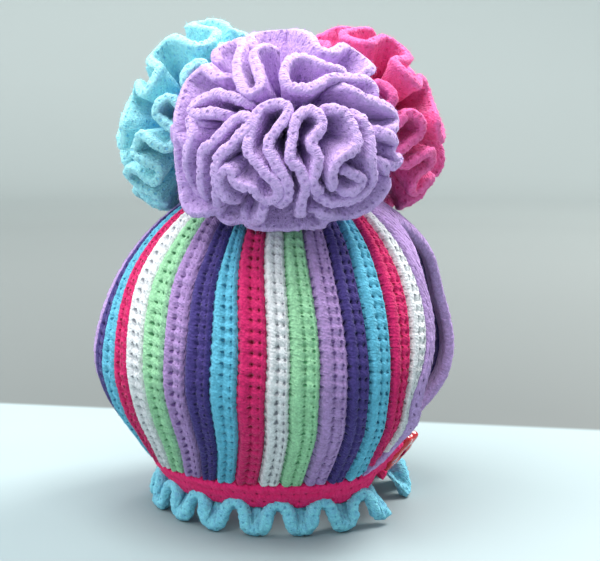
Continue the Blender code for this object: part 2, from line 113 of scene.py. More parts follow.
def through(points, steps=12, closed=False):
    """A smooth curve through the points."""
    points = [np.asarray(p, float) for p in points]
    if closed:
        ends = [points[-1], *points, points[0], points[1]]
    else:
        ends = [2 * points[0] - points[1], *points, 2 * points[-1] - points[-2]]
    curve = []
    for before, start, end, after in zip(ends, ends[1:], ends[2:], ends[3:]):
        for t in np.arange(steps) / steps:
            curve.append(
                0.5 * (2 * start + (end - before) * t)
                + 0.5 * (2 * before - 5 * start + 4 * end - after) * t**2
                + 0.5 * (3 * start - before - 3 * end + after) * t**3
            )
    return np.array(curve if closed else [*curve, points[-1]])


def lengths_of(line, loop=False):
    """Length from a line's first point to each point, and in a loop round to the first again."""
    if loop:
        line = np.append(line, line[:1], axis=0)
    return np.concatenate([[0.0], np.cumsum(np.linalg.norm(np.diff(line, axis=0), axis=1))])


OUTLINE = through(PROFILE)
ALONG = lengths_of(OUTLINE)
SLOPE = np.gradient(OUTLINE, ALONG, axis=0)
print("length of the profile:", round(float(ALONG[-1]), 1), "mm")


# %% Read values off tables and curves
def clamp(value):
    """The value, held between 0 and 1."""
    return np.clip(value, 0.0, 1.0)


def ease(value, start, end):
    """0 before start and 1 after end, with a smooth step between."""
    share = clamp((value - start) / (end - start))
    return share * share * (3.0 - 2.0 * share)


def bell(value, middle, spread, height=1.0):
    """A round bump of this height over its middle, almost gone at twice the spread."""
    return height * np.exp(-(((value - middle) / spread) ** 2))


def read(table, value):
    """A table of two columns, read at these values."""
    places, answers = np.array(table).T
    return np.interp(value, places, answers)


def height_at(along):
    return np.interp(along, ALONG, OUTLINE[:, 0])


def radius_at(along):
    return np.interp(along, ALONG, OUTLINE[:, 1])


def along_at(height):
    return np.interp(height, OUTLINE[:, 0], ALONG)


HEM_Z, MIDRIFF_Z, CROWN_Z = 19.5, 68.0, 120.0
HEM = along_at(HEM_Z)
print("the hem is", round(float(HEM), 1), "mm up the profile")

# %% Find points on the cloth
STRAY, STRAY_TURN, STRAY_HEIGHT = 0.5, 0.6, 21.0  # how far the round strays, where, over what height
STRAY_RADIUS = (20.0, 60.0)  # none on the crown, all of it on the belly
# Depth, middle and half-width in degrees, then the heights where it starts, is full, eases and ends.
DRAWN_IN = [
    (12.0, 4.0, 58.0, 6.0, 19.0, 27.0, 52.0),
    (5.0, 22.0, 40.0, 30.0, 50.0, 84.0, 112.0),
]


def together(*numbers):
    """Numbers spread over one grid and stacked, as the grid's points or as its map."""
    return np.stack(np.broadcast_arrays(*numbers), axis=-1)


def around(radius, angle, height):
    """Points round the upright axis, at an angle in radians."""
    return together(radius * np.cos(angle), radius * np.sin(angle), height)


def drawn_in_at(degrees, height):
    """How far the cloth is drawn in below its full round."""
    total = 0.0
    for depth, middle, spread, starts, full, eases, ends in DRAWN_IN:
        away = (degrees - middle + 180.0) % 360.0 - 180.0
        across = np.where(np.abs(away) < spread, np.cos(np.pi / 2 * away / spread) ** 2, 0.0)
        total = total + depth * across * ease(height, starts, full) * (1.0 - ease(height, eases, ends))
    return total


def on_cloth(degrees, along, lift=0.0):
    """Points over the cloth: degrees round the axis, length up the profile, height off its outer face."""
    up, out = np.interp(along, ALONG, SLOPE[:, 0]), np.interp(along, ALONG, SLOPE[:, 1])
    size = np.hypot(up, out)
    angle, height, radius = np.radians(degrees), height_at(along), radius_at(along)
    stray = STRAY * np.sin(2 * angle + STRAY_TURN) * np.sin(height / STRAY_HEIGHT)
    stray = stray * ease(radius, *STRAY_RADIUS)
    radius = radius + stray - drawn_in_at(degrees, height) + lift * up / size
    return around(radius, angle, height - lift * out / size)


print("the waist's front:", on_cloth(-90.0, along_at(MIDRIFF_Z)).round(1), "mm")

# %% [markdown]
# ## From points to a piece
# A sheet of cloth is easiest to make as a grid of points, worked out by NumPy all at once. The
# helpers here turn such a grid into a mesh, push it in and out along its own normals for the
# stitches, and lay a map on it whose squares are single stitches. The materials read that map,
# so the fine yarn always follows the rows.

# %% Make a mesh from a grid
def quads_of(rows, columns, loop_rows=False, loop_columns=False):
    """The corners of a grid's quads as point numbers, and as numbers in its unrolled map."""
    r, c = np.meshgrid(
        np.arange(rows if loop_rows else rows - 1),
        np.arange(columns if loop_columns else columns - 1),
        indexing="ij",
    )
    corners = [(r, c), (r, c + 1), (r + 1, c + 1), (r + 1, c)]
    points = np.stack([(i % rows * columns + j % columns).ravel() for i, j in corners], 1)
    spots = np.stack([(i * (columns + 1) + j).ravel() for i, j in corners], 1)
    return points, spots


def normals_of(grid, loop_rows=False, loop_columns=False):
    """Unit normals of a grid of points, to the left of its rows as its columns run."""

    def step(axis, loop):
        if loop:
            return np.roll(grid, -1, axis) - np.roll(grid, 1, axis)
        return np.gradient(grid, axis=axis)

    return unit(np.cross(step(1, loop_columns), step(0, loop_rows)))


def unit(vectors):
    return vectors / np.maximum(np.linalg.norm(vectors, axis=-1, keepdims=True), 1e-9)


def add_piece(name, points, faces, spots, materials, colours=None):
    """An object from points in millimetres, with a map called stitches."""
    mesh = bpy.data.meshes.new(name)
    mesh.from_pydata((np.asarray(points) * MM).tolist(), [], faces)
    layer = mesh.uv_layers.new(name="stitches")
    layer.uv.foreach_set("vector", np.asarray(spots, np.float32).ravel())
    for material in materials:
        mesh.materials.append(material)
    if colours is not None:
        mesh.polygons.foreach_set("material_index", colours)
    mesh.shade_smooth()
    mesh.update()
    return add_object(name, mesh)


def dress(piece, node):
    """Hang a piece on the frame in place of its solid."""
    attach(piece, "root")
    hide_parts(node)
    area = sum(face.area for face in piece.data.polygons)
    print(piece.name, "has", len(piece.data.polygons), "faces and", round(area, 4), "square metres")


print("a grid of 3 by 4 points has", len(quads_of(3, 4)[0]), "faces")


# %% Make a tube of cloth from a row of sections
def looks_out(grid, normals):
    """1 where a tube's normals look outward, and -1 where they look inward."""
    return np.sign(np.sum(normals * (grid - grid.mean(axis=1, keepdims=True))))


def tube_grid(grid, spots, loop=False):
    """Points, faces and map corners of a closed tube, whose sections go round in the last axis but one."""
    rows, columns = grid.shape[:2]
    outward = looks_out(grid, normals_of(grid, loop, True))
    faces, corners = quads_of(rows, columns, loop, True)
    if outward < 0:
        faces, corners = faces[:, ::-1], corners[:, ::-1]
    faces, flat = faces.tolist(), spots.reshape(-1, 2)
    places = [flat[corners.ravel()]]
    for row in () if loop else (0, rows - 1):
        cap = np.arange(columns) + row * columns
        if (row == 0) == (outward > 0):
            cap = cap[::-1]
        faces.append(cap.tolist())
        places.append(flat[(cap // columns) * (columns + 1) + cap % columns])
    return grid.reshape(-1, 3), faces, np.concatenate(places)


def lifted(grid, relief, loop=False):
    """The tube's grid pushed out along its normals by the relief."""
    normals = normals_of(grid, loop, True)
    return grid + normals * looks_out(grid, normals) * relief[..., None]


def joined(tubes):
    """Several tubes as one set of points, faces and map corners."""
    points, faces, spots, first = [], [], [], 0
    for some_points, some_faces, some_spots in tubes:
        points.append(some_points)
        faces += [[first + corner for corner in face] for face in some_faces]
        spots.append(some_spots)
        first += len(some_points)
    return np.concatenate(points), faces, np.concatenate(spots)


hem_line = on_cloth(np.arange(0.0, 360.0, 5.0), HEM)
print("the hem measures", round(float(lengths_of(hem_line, True)[-1])), "mm round")

# %% [markdown]
# ## Stitches
# Crochet shows as rows of small pads with a dark hole at each corner, where the hook went
# through. Each row is set half a stitch along from the last. Modelling every loop of yarn would
# take millions of faces, so the pads and holes are a height over the cloth: a few sines for the
# pads, and a round pit for each hole, some deeper than others as in hand work.

# %% Make each stitch a little different
def chance(row, stitch, seed=0.0):
    """A steady random number from 0 to 1 for each stitch."""
    value = np.sin(row * 12.9898 + stitch * 78.233 + seed * 37.719) * 43758.5453
    return value - np.floor(value)


def varied(share, row, stitch, seed):
    """About 1 for each stitch, no two alike, spread over this share."""
    return 1.0 - share / 2 + share * chance(row, stitch, seed)


def lumps(across, along, seed=0.0):
    """Soft random lumps from -1 to 1, one to each whole step of the two numbers."""
    row, place = np.floor(across), np.floor(along)
    right, up = ease(across - row, 0.0, 1.0), ease(along - place, 0.0, 1.0)
    low = chance(row, place, seed) * (1.0 - right) + chance(row + 1, place, seed) * right
    high = chance(row, place + 1, seed) * (1.0 - right) + chance(row + 1, place + 1, seed) * right
    return 2.0 * (low * (1.0 - up) + high * up) - 1.0


def rough_at(across, along, layers, seed):
    """Layers of lumps over one another."""
    return sum(
        high * lumps(wide * across, long * along, seed + layer)
        for layer, (high, wide, long) in enumerate(layers)
    )


print("the first five stitches draw", chance(0, np.arange(5)).round(2))

# %% Work out the height of the stitches
ROW, PITCH = 4.2, 4.7  # width of a row and length of a stitch, in millimetres
STAGGER = 0.5
RIDGE_HIGH, PAD_HIGH, STRAND_HIGH, PIT_DEEP, PIT_RADIUS = 0.34, 0.2, 0.07, 0.7, 0.45
RIDGE_POWER, PAD_POWER = 0.7, 0.8  # the lower, the flatter the top
STRANDS = (0.9, 2.0)  # strands of yarn to a row and to a stitch
PIT_LEAST = 0.35  # of a full pit
PLAIN_ROUGH = [(0.16, 2.0, 2.3), (0.1, 3.6, 4.4)]  # lumps: height, number to a row, number to a stitch


def holes_at(rows, stitches, row_size, pitch, stagger, radius, seed=0.0):
    """0 away from the holes and up to 1 in them."""
    line = np.round(rows)
    place = stitches + stagger * line
    nearest = np.round(place)
    away = ((rows - line) * row_size) ** 2 + ((place - nearest) * pitch) ** 2
    return np.exp(-away / (2 * radius**2)) * (PIT_LEAST + (1.0 - PIT_LEAST) * chance(line, nearest, seed))


def hump(steps, power):
    """0 at each whole step and 1 between two."""
    return np.abs(np.sin(np.pi * steps)) ** power


def strands_at(across, along, high):
    """The strands of the yarn, slanting over the stitches."""
    return high * np.cos(2 * np.pi * (STRANDS[1] * along + STRANDS[0] * across))


def stitches_at(rows, stitches, deep=1.0, seed=0.0):
    """Height of plain crochet in millimetres."""
    line = np.floor(rows)
    ridge = RIDGE_HIGH * (hump(rows - line, RIDGE_POWER) - 0.5)
    pad = PAD_HIGH * (hump(stitches + STAGGER * line, PAD_POWER) - 0.5)
    strand = strands_at(rows, stitches, STRAND_HIGH)
    rough = rough_at(rows, stitches, PLAIN_ROUGH, seed)
    holes = holes_at(rows, stitches, ROW, PITCH, STAGGER, PIT_RADIUS, seed)
    return deep * (ridge + pad + strand + rough - PIT_DEEP * holes)


def smoothed(values, reach, closed):
    """Each value's mean with its neighbours."""
    padded = np.pad(values, ((reach, reach), (0, 0)), mode="wrap" if closed else "edge")
    window = np.ones(2 * reach + 1) / (2 * reach + 1)
    return np.stack([np.convolve(column, window, mode="valid") for column in padded.T], axis=-1)


print("one stitch is", PITCH, "by", ROW, "mm")

# %% [markdown]
# ## Yarn
# The cosy is worked in soft acrylic yarn. From a step away it looks matt and a little fuzzy, with
# dark dots where the hook went through. Two effects are shared by every yarn colour, so each is a
# node group: one finds the holes from the map of stitches, the other draws the plies and the
# fluff. The colour, the sheen and the roughness stay in each material.

# %% Write helpers for nodes
def put(tree, kind, settings=(), **sockets):
    """A node with its settings, whose sockets are linked or given values. Socket names use _ for a space."""
    node = tree.nodes.new(kind)
    for key, value in dict(settings).items():
        setattr(node, key, value)
    for key, value in sockets.items():
        spot = node.inputs[int(key[1:]) if key[0] == "i" and key[1:].isdigit() else key.replace("_", " ")]
        if isinstance(value, bpy.types.NodeSocket):
            tree.links.new(value, spot)
        else:
            spot.default_value = value
    return node


def sums(tree, operation, *values):
    """One Math node."""
    sockets = {f"i{place}": value for place, value in enumerate(values)}
    return put(tree, "ShaderNodeMath", {"operation": operation}, **sockets).outputs[0]


def length_of(tree, across, along):
    """The length of a step across and along."""
    squares = [sums(tree, "MULTIPLY", side, side) for side in (across, along)]
    return sums(tree, "SQRT", sums(tree, "ADD", *squares))


def smooth_step(tree, value, start, end):
    """0 at start and 1 at end, with a smooth step between."""
    settings = {"interpolation_type": "SMOOTHSTEP"}
    return put(tree, "ShaderNodeMapRange", settings, i0=value, i1=start, i2=end).outputs[0]


def noise(tree, place, scale, detail=2.0, roughness=0.5):
    """Soft random patches."""
    sockets = {"Vector": place, "Scale": scale, "Detail": detail, "Roughness": roughness}
    return put(tree, "ShaderNodeTexNoise", **sockets).outputs["Fac"]


def mix(tree, share, *colours):
    """A colour between two. Each is a socket, or red, green and blue."""
    first, second = [c if isinstance(c, bpy.types.NodeSocket) else (*c, 1.0) for c in colours]
    return put(tree, "ShaderNodeMix", {"data_type": "RGBA"}, i0=share, i6=first, i7=second).outputs[2]


def new_group(name, inputs, outputs):
    """A shader node group with the named sockets, and its input and output nodes."""
    group = bpy.data.node_groups.new(name, "ShaderNodeTree")
    for label, kind, value in inputs:
        made = group.interface.new_socket(label, in_out="INPUT", socket_type=f"NodeSocket{kind}")
        if value is not None:
            made.default_value = value
    for label in outputs:
        group.interface.new_socket(label, in_out="OUTPUT", socket_type="NodeSocketFloat")
    return group, group.nodes.new("NodeGroupInput"), group.nodes.new("NodeGroupOutput")


print("node helpers ready")

# %% Group the holes
HOLES = {"Row": ROW, "Pitch": PITCH, "Stagger": STAGGER, "Radius": 0.42, "Least": 0.2}
HOLES_VARY = 0.9  # how much more than the least a hole may be
HOLE_FADES = (1.7, 0.5)  # a hole's edge and its full dark, in its own radius
CREASE_FADES, LINE_FADES = (0.55, 0.0), (0.75, 0.05)  # millimetres


def stitch_holes_group():
    """Masks of the holes at the corners of the stitches, each of its own size, and of the creases and lines,
    where the yarns paint shade.
    """
    inputs = [("Map", "Vector", None)] + [(label, "Float", value) for label, value in HOLES.items()]
    tree, given, out = new_group("stitch_holes", inputs, ["Hole", "Crease", "Line"])
    parts = put(tree, "ShaderNodeSeparateXYZ", i0=given.outputs["Map"])
    line = sums(tree, "ROUND", parts.outputs[0])
    place = sums(tree, "MULTIPLY_ADD", given.outputs["Stagger"], line, parts.outputs[1])
    nearest = sums(tree, "ROUND", place)
    across = sums(tree, "MULTIPLY", sums(tree, "SUBTRACT", parts.outputs[0], line), given.outputs["Row"])
    along = sums(tree, "MULTIPLY", sums(tree, "SUBTRACT", place, nearest), given.outputs["Pitch"])
    cell = put(tree, "ShaderNodeCombineXYZ", i0=line, i1=nearest).outputs[0]
    random = put(tree, "ShaderNodeTexWhiteNoise", {"noise_dimensions": "2D"}, Vector=cell).outputs["Value"]
    grown = sums(tree, "MULTIPLY_ADD", random, HOLES_VARY, given.outputs["Least"])
    size = sums(tree, "MULTIPLY", given.outputs["Radius"], grown)
    edge, dark = (sums(tree, "MULTIPLY", size, share) for share in HOLE_FADES)
    made = {
        "Hole": smooth_step(tree, length_of(tree, across, along), edge, dark),
        "Crease": smooth_step(tree, sums(tree, "ABSOLUTE", along), *CREASE_FADES),
        "Line": smooth_step(tree, sums(tree, "ABSOLUTE", across), *LINE_FADES),
    }
    for label, socket in made.items():
        tree.links.new(socket, out.inputs[label])
    return tree


STITCH_HOLES = stitch_holes_group()
print("group", STITCH_HOLES.name, "has", len(STITCH_HOLES.nodes), "nodes")

# %% Group the plies and the fluff
FLUFF, PATCHES = (1500.0, 3.0, 0.65), (260.0, 2.0, 0.6)  # lumps to a metre, detail, roughness
CURLS = {"Scale": 780.0, "Smoothness": 0.6}
PLY_SLANT = (1.3, 3.0)  # plies to a row and to a stitch
PLY_BEND, PLY_HIGH, CURL_HIGH = 2.2, 0.14, -0.9
FLUFF_TINT, CURL_TINT, TINT_LIFT = 1.3, -0.7, 0.25


def yarn_fluff_group():
    """Twisted plies that follow the stitches, and the fluff over them."""
    inputs = [("Place", "Vector", None), ("Map", "Vector", None)]
    tree, given, out = new_group("yarn_fluff", inputs, ["Height", "Tint"])
    place = given.outputs["Place"]
    fluff, patch = noise(tree, place, *FLUFF), noise(tree, place, *PATCHES)
    parts = put(tree, "ShaderNodeSeparateXYZ", i0=given.outputs["Map"])
    along = sums(tree, "MULTIPLY", parts.outputs[1], PLY_SLANT[1])
    slant = sums(tree, "MULTIPLY_ADD", parts.outputs[0], PLY_SLANT[0], along)
    bent = sums(tree, "MULTIPLY_ADD", patch, PLY_BEND, slant)
    ply = sums(tree, "SINE", sums(tree, "MULTIPLY", bent, 2 * math.pi))
    curl = put(tree, "ShaderNodeTexVoronoi", {"feature": "SMOOTH_F1"}, Vector=place, **CURLS)
    curl = curl.outputs["Distance"]
    lump = sums(tree, "MULTIPLY_ADD", curl, CURL_HIGH, fluff)
    tree.links.new(sums(tree, "MULTIPLY_ADD", ply, PLY_HIGH, lump), out.inputs["Height"])
    soft = sums(tree, "MULTIPLY_ADD", sums(tree, "SUBTRACT", fluff, 0.5), FLUFF_TINT, patch)
    tint = sums(tree, "MULTIPLY_ADD", curl, CURL_TINT, sums(tree, "ADD", soft, TINT_LIFT))
    tree.links.new(tint, out.inputs["Tint"])
    return tree


YARN_FLUFF = yarn_fluff_group()
print("group", YARN_FLUFF.name, "has", len(YARN_FLUFF.nodes), "nodes")

# %% [markdown]
# ## A colour of yarn
# Each material paints shade: it mixes the yarn's own colour towards a deeper one in the holes, creases,
# lines and flower folds, where shade falls, deeper in colour rather than grey as light goes a little way
# into acrylic yarn. Its fluff catches light at the edges, and the sheen of the Principled shader stands for
# the fluff.

# %% Mix the yarn colours
YARNS = {  # the yarn's own colour, and the deeper colour of the painted shade in its holes and creases
    "pink": ((0.66, 0.010, 0.135), (0.24, 0.001, 0.025)),
    "white": ((0.77, 0.78, 0.80), (0.27, 0.28, 0.32)),
    "mint": ((0.33, 0.66, 0.38), (0.05, 0.23, 0.09)),
    "lilac": ((0.42, 0.26, 0.55), (0.12, 0.055, 0.22)),
    "purple": ((0.056, 0.034, 0.20), (0.010, 0.006, 0.06)),
    "turquoise": ((0.12, 0.50, 0.69), (0.008, 0.13, 0.24)),
}
LIGHTER, PALER = 1.22, 0.02  # the colour on top of the fluff: so many times lighter, and a little grey
print("yarns:", list(YARNS))

# %% Finish a surface
def new_material(name):
    """A material, its tree, its Principled shader and the place on the surface."""
    material = bpy.data.materials.new(name)
    material.use_nodes = True
    tree = material.node_tree
    place = put(tree, "ShaderNodeTexCoord").outputs["Object"]
    return material, tree, tree.nodes["Principled BSDF"], place


def set_surface(tree, shader, height, strength, depth, values):
    """Raise the surface by a height, and set the shader's own sockets."""
    bump = put(tree, "ShaderNodeBump", Strength=strength, Distance=depth, Height=height)
    tree.links.new(bump.outputs[0], shader.inputs["Normal"])
    for socket, value in values.items():
        shader.inputs[socket].default_value = value


print("materials so far:", len(bpy.data.materials))

# %% Make a yarn
PAINTED_CREASE_SHADE, PAINTED_FOLD_SHADE = 0.10, 0.62  # how far the painted shade colour shows in a crease and in a fold
FOLD_FADES = (0.78, 0.22)  # square of the share of the way out to a flower's own round
YARN_BUMP = (0.8, 0.0006)  # strength, metres
HOLE_BUMP = -2.0  # how deep the holes are beside the fluff
YARN_LOOK = {"Roughness": 0.92, "Specular IOR Level": 0.25, "Sheen Roughness": 0.45}
SHEEN_PALE = 0.3  # how much white there is in the sheen


def fold_shade_mask(tree, place, flower):
    """Where a flower's folds get painted shade: 0 on its rims and 1 deep in its folds."""

    def vectors(operation, first, second):
        return put(tree, "ShaderNodeVectorMath", {"operation": operation}, i0=first, i1=second).outputs

    offset = vectors("SUBTRACT", place, tuple(flower["middle"] * MM))[0]
    ahead = vectors("DOT_PRODUCT", offset, tuple(flower["facing"]))["Value"]
    square = vectors("DOT_PRODUCT", offset, offset)["Value"]
    wide, front = (flower["across"] * MM) ** -2, (FLOWER_FRONT * MM) ** -2
    ahead = sums(tree, "MULTIPLY", ahead, ahead)
    reach = sums(tree, "MULTIPLY_ADD", ahead, front - wide, sums(tree, "MULTIPLY", square, wide))
    return smooth_step(tree, reach, *FOLD_FADES)


def yarn(name, colour, deep, holes=(), mark=0.7, line=0.0, sheen=0.35, dimmed=0.72, flower=None):
    """A matt, fluffy yarn worked in crochet, with painted shade: its colour is deeper in the holes, creases
    and lines, and deep in the folds of a flower.
    """
    material, tree, shader, place = new_material(name)
    stitches = put(tree, "ShaderNodeUVMap", {"uv_map": "stitches"}).outputs["UV"]
    sockets = {**HOLES, **dict(holes), "Map": stitches}
    holes = put(tree, "ShaderNodeGroup", {"node_tree": STITCH_HOLES}, **sockets).outputs
    fluff = put(tree, "ShaderNodeGroup", {"node_tree": YARN_FLUFF}, Place=place, Map=stitches).outputs
    dim, light = [c * dimmed for c in colour], [min(1.0, c * LIGHTER + PALER) for c in colour]
    tinted = mix(tree, fluff["Tint"], dim, light)
    # painted shade: the colour is mixed towards the deeper one in the holes, the creases, the lines and a
    # flower's folds
    hole_shade = sums(tree, "MULTIPLY", holes["Hole"], mark)
    shade = sums(tree, "MULTIPLY_ADD", holes["Crease"], PAINTED_CREASE_SHADE, hole_shade)
    if line:
        shade = sums(tree, "MULTIPLY_ADD", holes["Line"], line, shade)
    # painted shade deep in a flower's folds, away from its rims
    if flower is not None:
        shade = sums(tree, "MULTIPLY_ADD", fold_shade_mask(tree, place, flower), PAINTED_FOLD_SHADE, shade)
    mixed = mix(tree, sums(tree, "MINIMUM", shade, 1.0), tinted, deep)
    tree.links.new(mixed, shader.inputs["Base Color"])
    height = sums(tree, "MULTIPLY_ADD", holes["Hole"], HOLE_BUMP * mark, fluff["Height"])
    tint = (*(SHEEN_PALE + (1.0 - SHEEN_PALE) * c for c in colour), 1.0)
    set_surface(tree, shader, height, *YARN_BUMP, {**YARN_LOOK, "Sheen Weight": sheen, "Sheen Tint": tint})
    return material


band_yarn = yarn("pink_band", (1.0, 0.015, 0.165), (0.40, 0.002, 0.045), sheen=0.15, dimmed=0.85)
print(band_yarn.name, "has", len(band_yarn.node_tree.nodes), "nodes")

# %% [markdown]
# ## The striped panels
# Each panel is worked in upright rows, two rows of thick yarn to a stripe: a smooth ridge on the
# left, then a ladder of two columns of holes. The colours meet in a groove with small teeth.
# The panel is one dense grid. Its columns follow the stripes, so a stripe's colour is simply
# the material of its faces, and the teeth come from moving the columns at the groove.

# %% Lay out the stripes
STRIPES = ["purple", "turquoise", "pink", "white", "mint", "lilac"] * 3
STRIPES = STRIPES[:16]
STRIPE_LINES = [  # height, then where each stripe meets the next, in thousandths of the panel's width
    (22, 65, 130, 180, 240, 301, 370, 420, 479, 549, 612, 681, 752, 808, 886, 941),
    (34, 73, 145, 200, 266, 328, 392, 446, 503, 571, 630, 700, 772, 830, 892, 941),
    (46, 80, 160, 220, 283, 345, 405, 463, 524, 588, 645, 714, 783, 838, 894, 940),
    (58, 82, 165, 226, 286, 345, 404, 466, 529, 594, 648, 717, 783, 837, 891, 938),
    (70, 77, 155, 211, 272, 337, 397, 461, 527, 592, 644, 712, 776, 829, 885, 939),
    (84, 65, 130, 185, 252, 323, 387, 452, 516, 582, 634, 700, 763, 816, 878, 941),
    (100, 55, 110, 163, 240, 313, 381, 444, 502, 570, 623, 686, 749, 804, 871, 942),
    (116, 57, 115, 168, 247, 319, 390, 448, 495, 562, 618, 678, 745, 806, 872, 938),
    (138, 60, 120, 178, 248, 315, 383, 446, 500, 564, 622, 682, 746, 808, 872, 938),
]
HEM_LEAN, CROWN_LEAN = 3.0, 2.0
STRIPES_END = [  # height, and width from the seam's line to the nearest stripe
    (19.5, 18.5), (34.0, 27.0), (50.0, 33.5), (68.0, 36.5), (84.0, 35.0), (102.0, 27.0), (120.0, 16.5),
    (132.0, 8.0), (138.5, 2.0),
]
DRAWN_BACK = (58.0, 20.0, 6.0)  # middle, spread and width of what the front edge lies back beside the belly
TUCKED_IN = (54.0, 17.0, 7.0)  # the same of what its last stripe turns in under the handle's edging
STRIPE_TABLE, STRIPES_END_TABLE = through(STRIPE_LINES), through(STRIPES_END)


def lean_at(height):
    """Degrees that the seams and stripes lean at a height."""
    below = clamp((MIDRIFF_Z - height) / (MIDRIFF_Z - HEM_Z))
    above = clamp((height - MIDRIFF_Z) / (CROWN_Z - MIDRIFF_Z))
    return -HEM_LEAN * below**2 - CROWN_LEAN * above**2


def stripes_end(height):
    """Width from the seam's line to the nearest stripe."""
    return read(STRIPES_END_TABLE, height)


def stripe_edges(height):
    """Where the stripes start and end at these heights, as shares of the panel's width, in the last axis."""
    lines = [np.interp(height, STRIPE_TABLE[:, 0], line / 1000.0) for line in STRIPE_TABLE.T[1:]]
    return np.stack([np.zeros_like(height), *lines, np.ones_like(height)], axis=-1)


print(len(STRIPES), "stripes, up to", round(float(np.diff(STRIPE_TABLE[:, 1:]).max()) / 10, 1), "% wide")

# %% Follow the hem and the tab
GAP = 0.3
HEM_LIFT = 2.2  # the band's crochet is fuller than its solid and reaches higher
BAND_TO, TAB_RISE = 12.0, 12.5
TAB_RISES = (-44.0, -8.0)  # degrees
TAB_CLEAR = 0.8  # how much further off the panel keeps where the tab rises
CORNER_FROM, CORNER_TO, CORNER_RISE = -48.0, -28.0, 6.5
LOOSE = (-326.0, 16.0, 2.2)  # behind the tab the hem hangs looser: middle and spread in degrees, lift
PANEL_LOW = HEM + HEM_LIFT + 0.75 * GAP


def tab_rise(degrees):
    return TAB_RISE * ease(degrees, *TAB_RISES)


def hem_along(degrees):
    """The line just above the band, which follows the tab up."""
    rise = np.where(degrees < BAND_TO, tab_rise(degrees), 0.0)
    return PANEL_LOW + rise + TAB_CLEAR * np.minimum(rise, 1.0)


def corner_rise(degrees):
    return CORNER_RISE * ease(degrees, CORNER_FROM, CORNER_TO)


print("at its end the tab has risen", round(float(tab_rise(BAND_TO)), 1), "mm")

# %% Work out a stripe's stitches
PANEL_PITCH = 4.15
LADDER = [(0.0, 0.0), (0.5, 1.0), (0.8, 2.0), (1.0, 3.0)]  # across a stripe: share, line of holes
LADDER_STAGGER, LADDER_ROW = 0.08, 3.2
GROOVE = (0.0, 0.95, -1.7)  # millimetres from the stripe's edge, spread, height
STRIPE_RIDGE, STRIPE_EDGE, STRIPE_CREASE = (0.27, 0.15, 0.5), (0.9, 0.07, 0.36), (0.5, 0.045, -0.5)
VEE_HIGH, VEE_SLANT, VEE_FADES = 0.13, 2.2 / 0.23, (0.42, 0.5)
STRIPE_ROUGH = [(0.12, 5.0, 2.7), (0.08, 8.0, 5.0)]
LADDER_AT = (0.46, 0.54, 0.76, 0.84)  # across a stripe: it starts, is full, eases and ends
LADDER_DEEP, RUNG_HIGH, LADDER_PIT, LADDER_PIT_RADIUS = 0.45, 0.5, 1.4, 0.5
RUNG_POWER, RUNG_VARIES, EDGE_VARIES = 0.9, 0.6, 0.35


def stripe_height(across, stitches, width, seed):
    """Height of a stripe's stitches: across is 0 to 1 over the stripe, stitches count up it."""
    line = read(LADDER, across)
    relief = bell(np.minimum(across, 1.0 - across) * width, *GROOVE) + bell(across, *STRIPE_RIDGE)
    vee = VEE_HIGH * np.cos(2 * np.pi * (2.0 * stitches - VEE_SLANT * np.abs(across - STRIPE_RIDGE[0])))
    relief = relief + vee * (1.0 - ease(across, *VEE_FADES))
    relief = relief + bell(across, *STRIPE_EDGE) * (1.0 + EDGE_VARIES * np.cos(2 * np.pi * stitches))
    relief = relief + rough_at(across, stitches, STRIPE_ROUGH, seed) + bell(across, *STRIPE_CREASE)
    ladder = ease(across, *LADDER_AT[:2]) * (1.0 - ease(across, *LADDER_AT[2:]))
    rung = hump(stitches + LADDER_STAGGER * line, RUNG_POWER)
    uneven = varied(RUNG_VARIES, np.floor(stitches), 5.0, seed)
    holes = holes_at(line, stitches, LADDER_ROW, PANEL_PITCH, LADDER_STAGGER, LADDER_PIT_RADIUS, seed)
    return relief + ladder * (RUNG_HIGH * rung * uneven - LADDER_DEEP) - LADDER_PIT * holes


print("a ridge stands", STRIPE_RIDGE[2], "mm up and the groove lies", -GROOVE[2], "mm deep")

# %% Join the outside and the inside
INSIDE_COLUMNS, INSIDE_ROWS = 3, 4  # columns and rows of the outside for each one inside
ladder_holes = {"Stagger": LADDER_STAGGER, "Row": LADDER_ROW, "Radius": 0.46, "Least": 0.5}
panel_yarns = [
    yarn(f"{name}_stripe", *pair, ladder_holes, mark=0.85, line=0.2) for name, pair in YARNS.items()
]


def shell(name, outer, inner, spots, stripe):
    """Join the outside's close grid and the inside's wide one round their rims."""
    rows, columns = outer.shape[:2]
    near = np.arange(rows * columns).reshape(rows, columns)
    far = rows * columns + np.arange(inner[..., 0].size).reshape(inner.shape[:2])
    inside = quads_of(*far.shape)[0][:, ::-1] + rows * columns
    faces = quads_of(rows, columns)[0].tolist() + inside.tolist()
    colour_of = np.tile(stripe[:-1], rows - 1).tolist()
    colour_of += np.tile(stripe[:-1:INSIDE_COLUMNS], len(far) - 1).tolist()
    rims = [  # the outside's points and the inside's, the outside's for each inside, turned over, stripes
        (near[0], far[0], INSIDE_COLUMNS, True, stripe),
        (near[-1], far[-1], INSIDE_COLUMNS, False, stripe),
        (near[:, 0], far[:, 0], INSIDE_ROWS, False, stripe[:1].repeat(rows)),
        (near[:, -1], far[:, -1], INSIDE_ROWS, True, stripe[-1:].repeat(rows)),
    ]
    for rim, back, every, turned_over, stripes in rims:
        for step in range(len(back) - 1):
            edge = rim[step * every : (step + 1) * every + 1]
            face = [int(point) for point in (*edge, back[step + 1], back[step])]
            faces.append(face[::-1] if turned_over else face)
            colour_of.append(int(stripes[step * every]))
    order = list(YARNS)
    colours = [order.index(STRIPES[s]) for s in colour_of]
    points = np.concatenate([outer.reshape(-1, 3), inner.reshape(-1, 3)])
    places = np.concatenate([spots.reshape(-1, 2), spots[::INSIDE_ROWS, ::INSIDE_COLUMNS].reshape(-1, 2)])
    return add_piece(name, points, faces, places[np.concatenate(faces)], panel_yarns, colours)


print("yarns on a panel:", [material.name for material in panel_yarns])

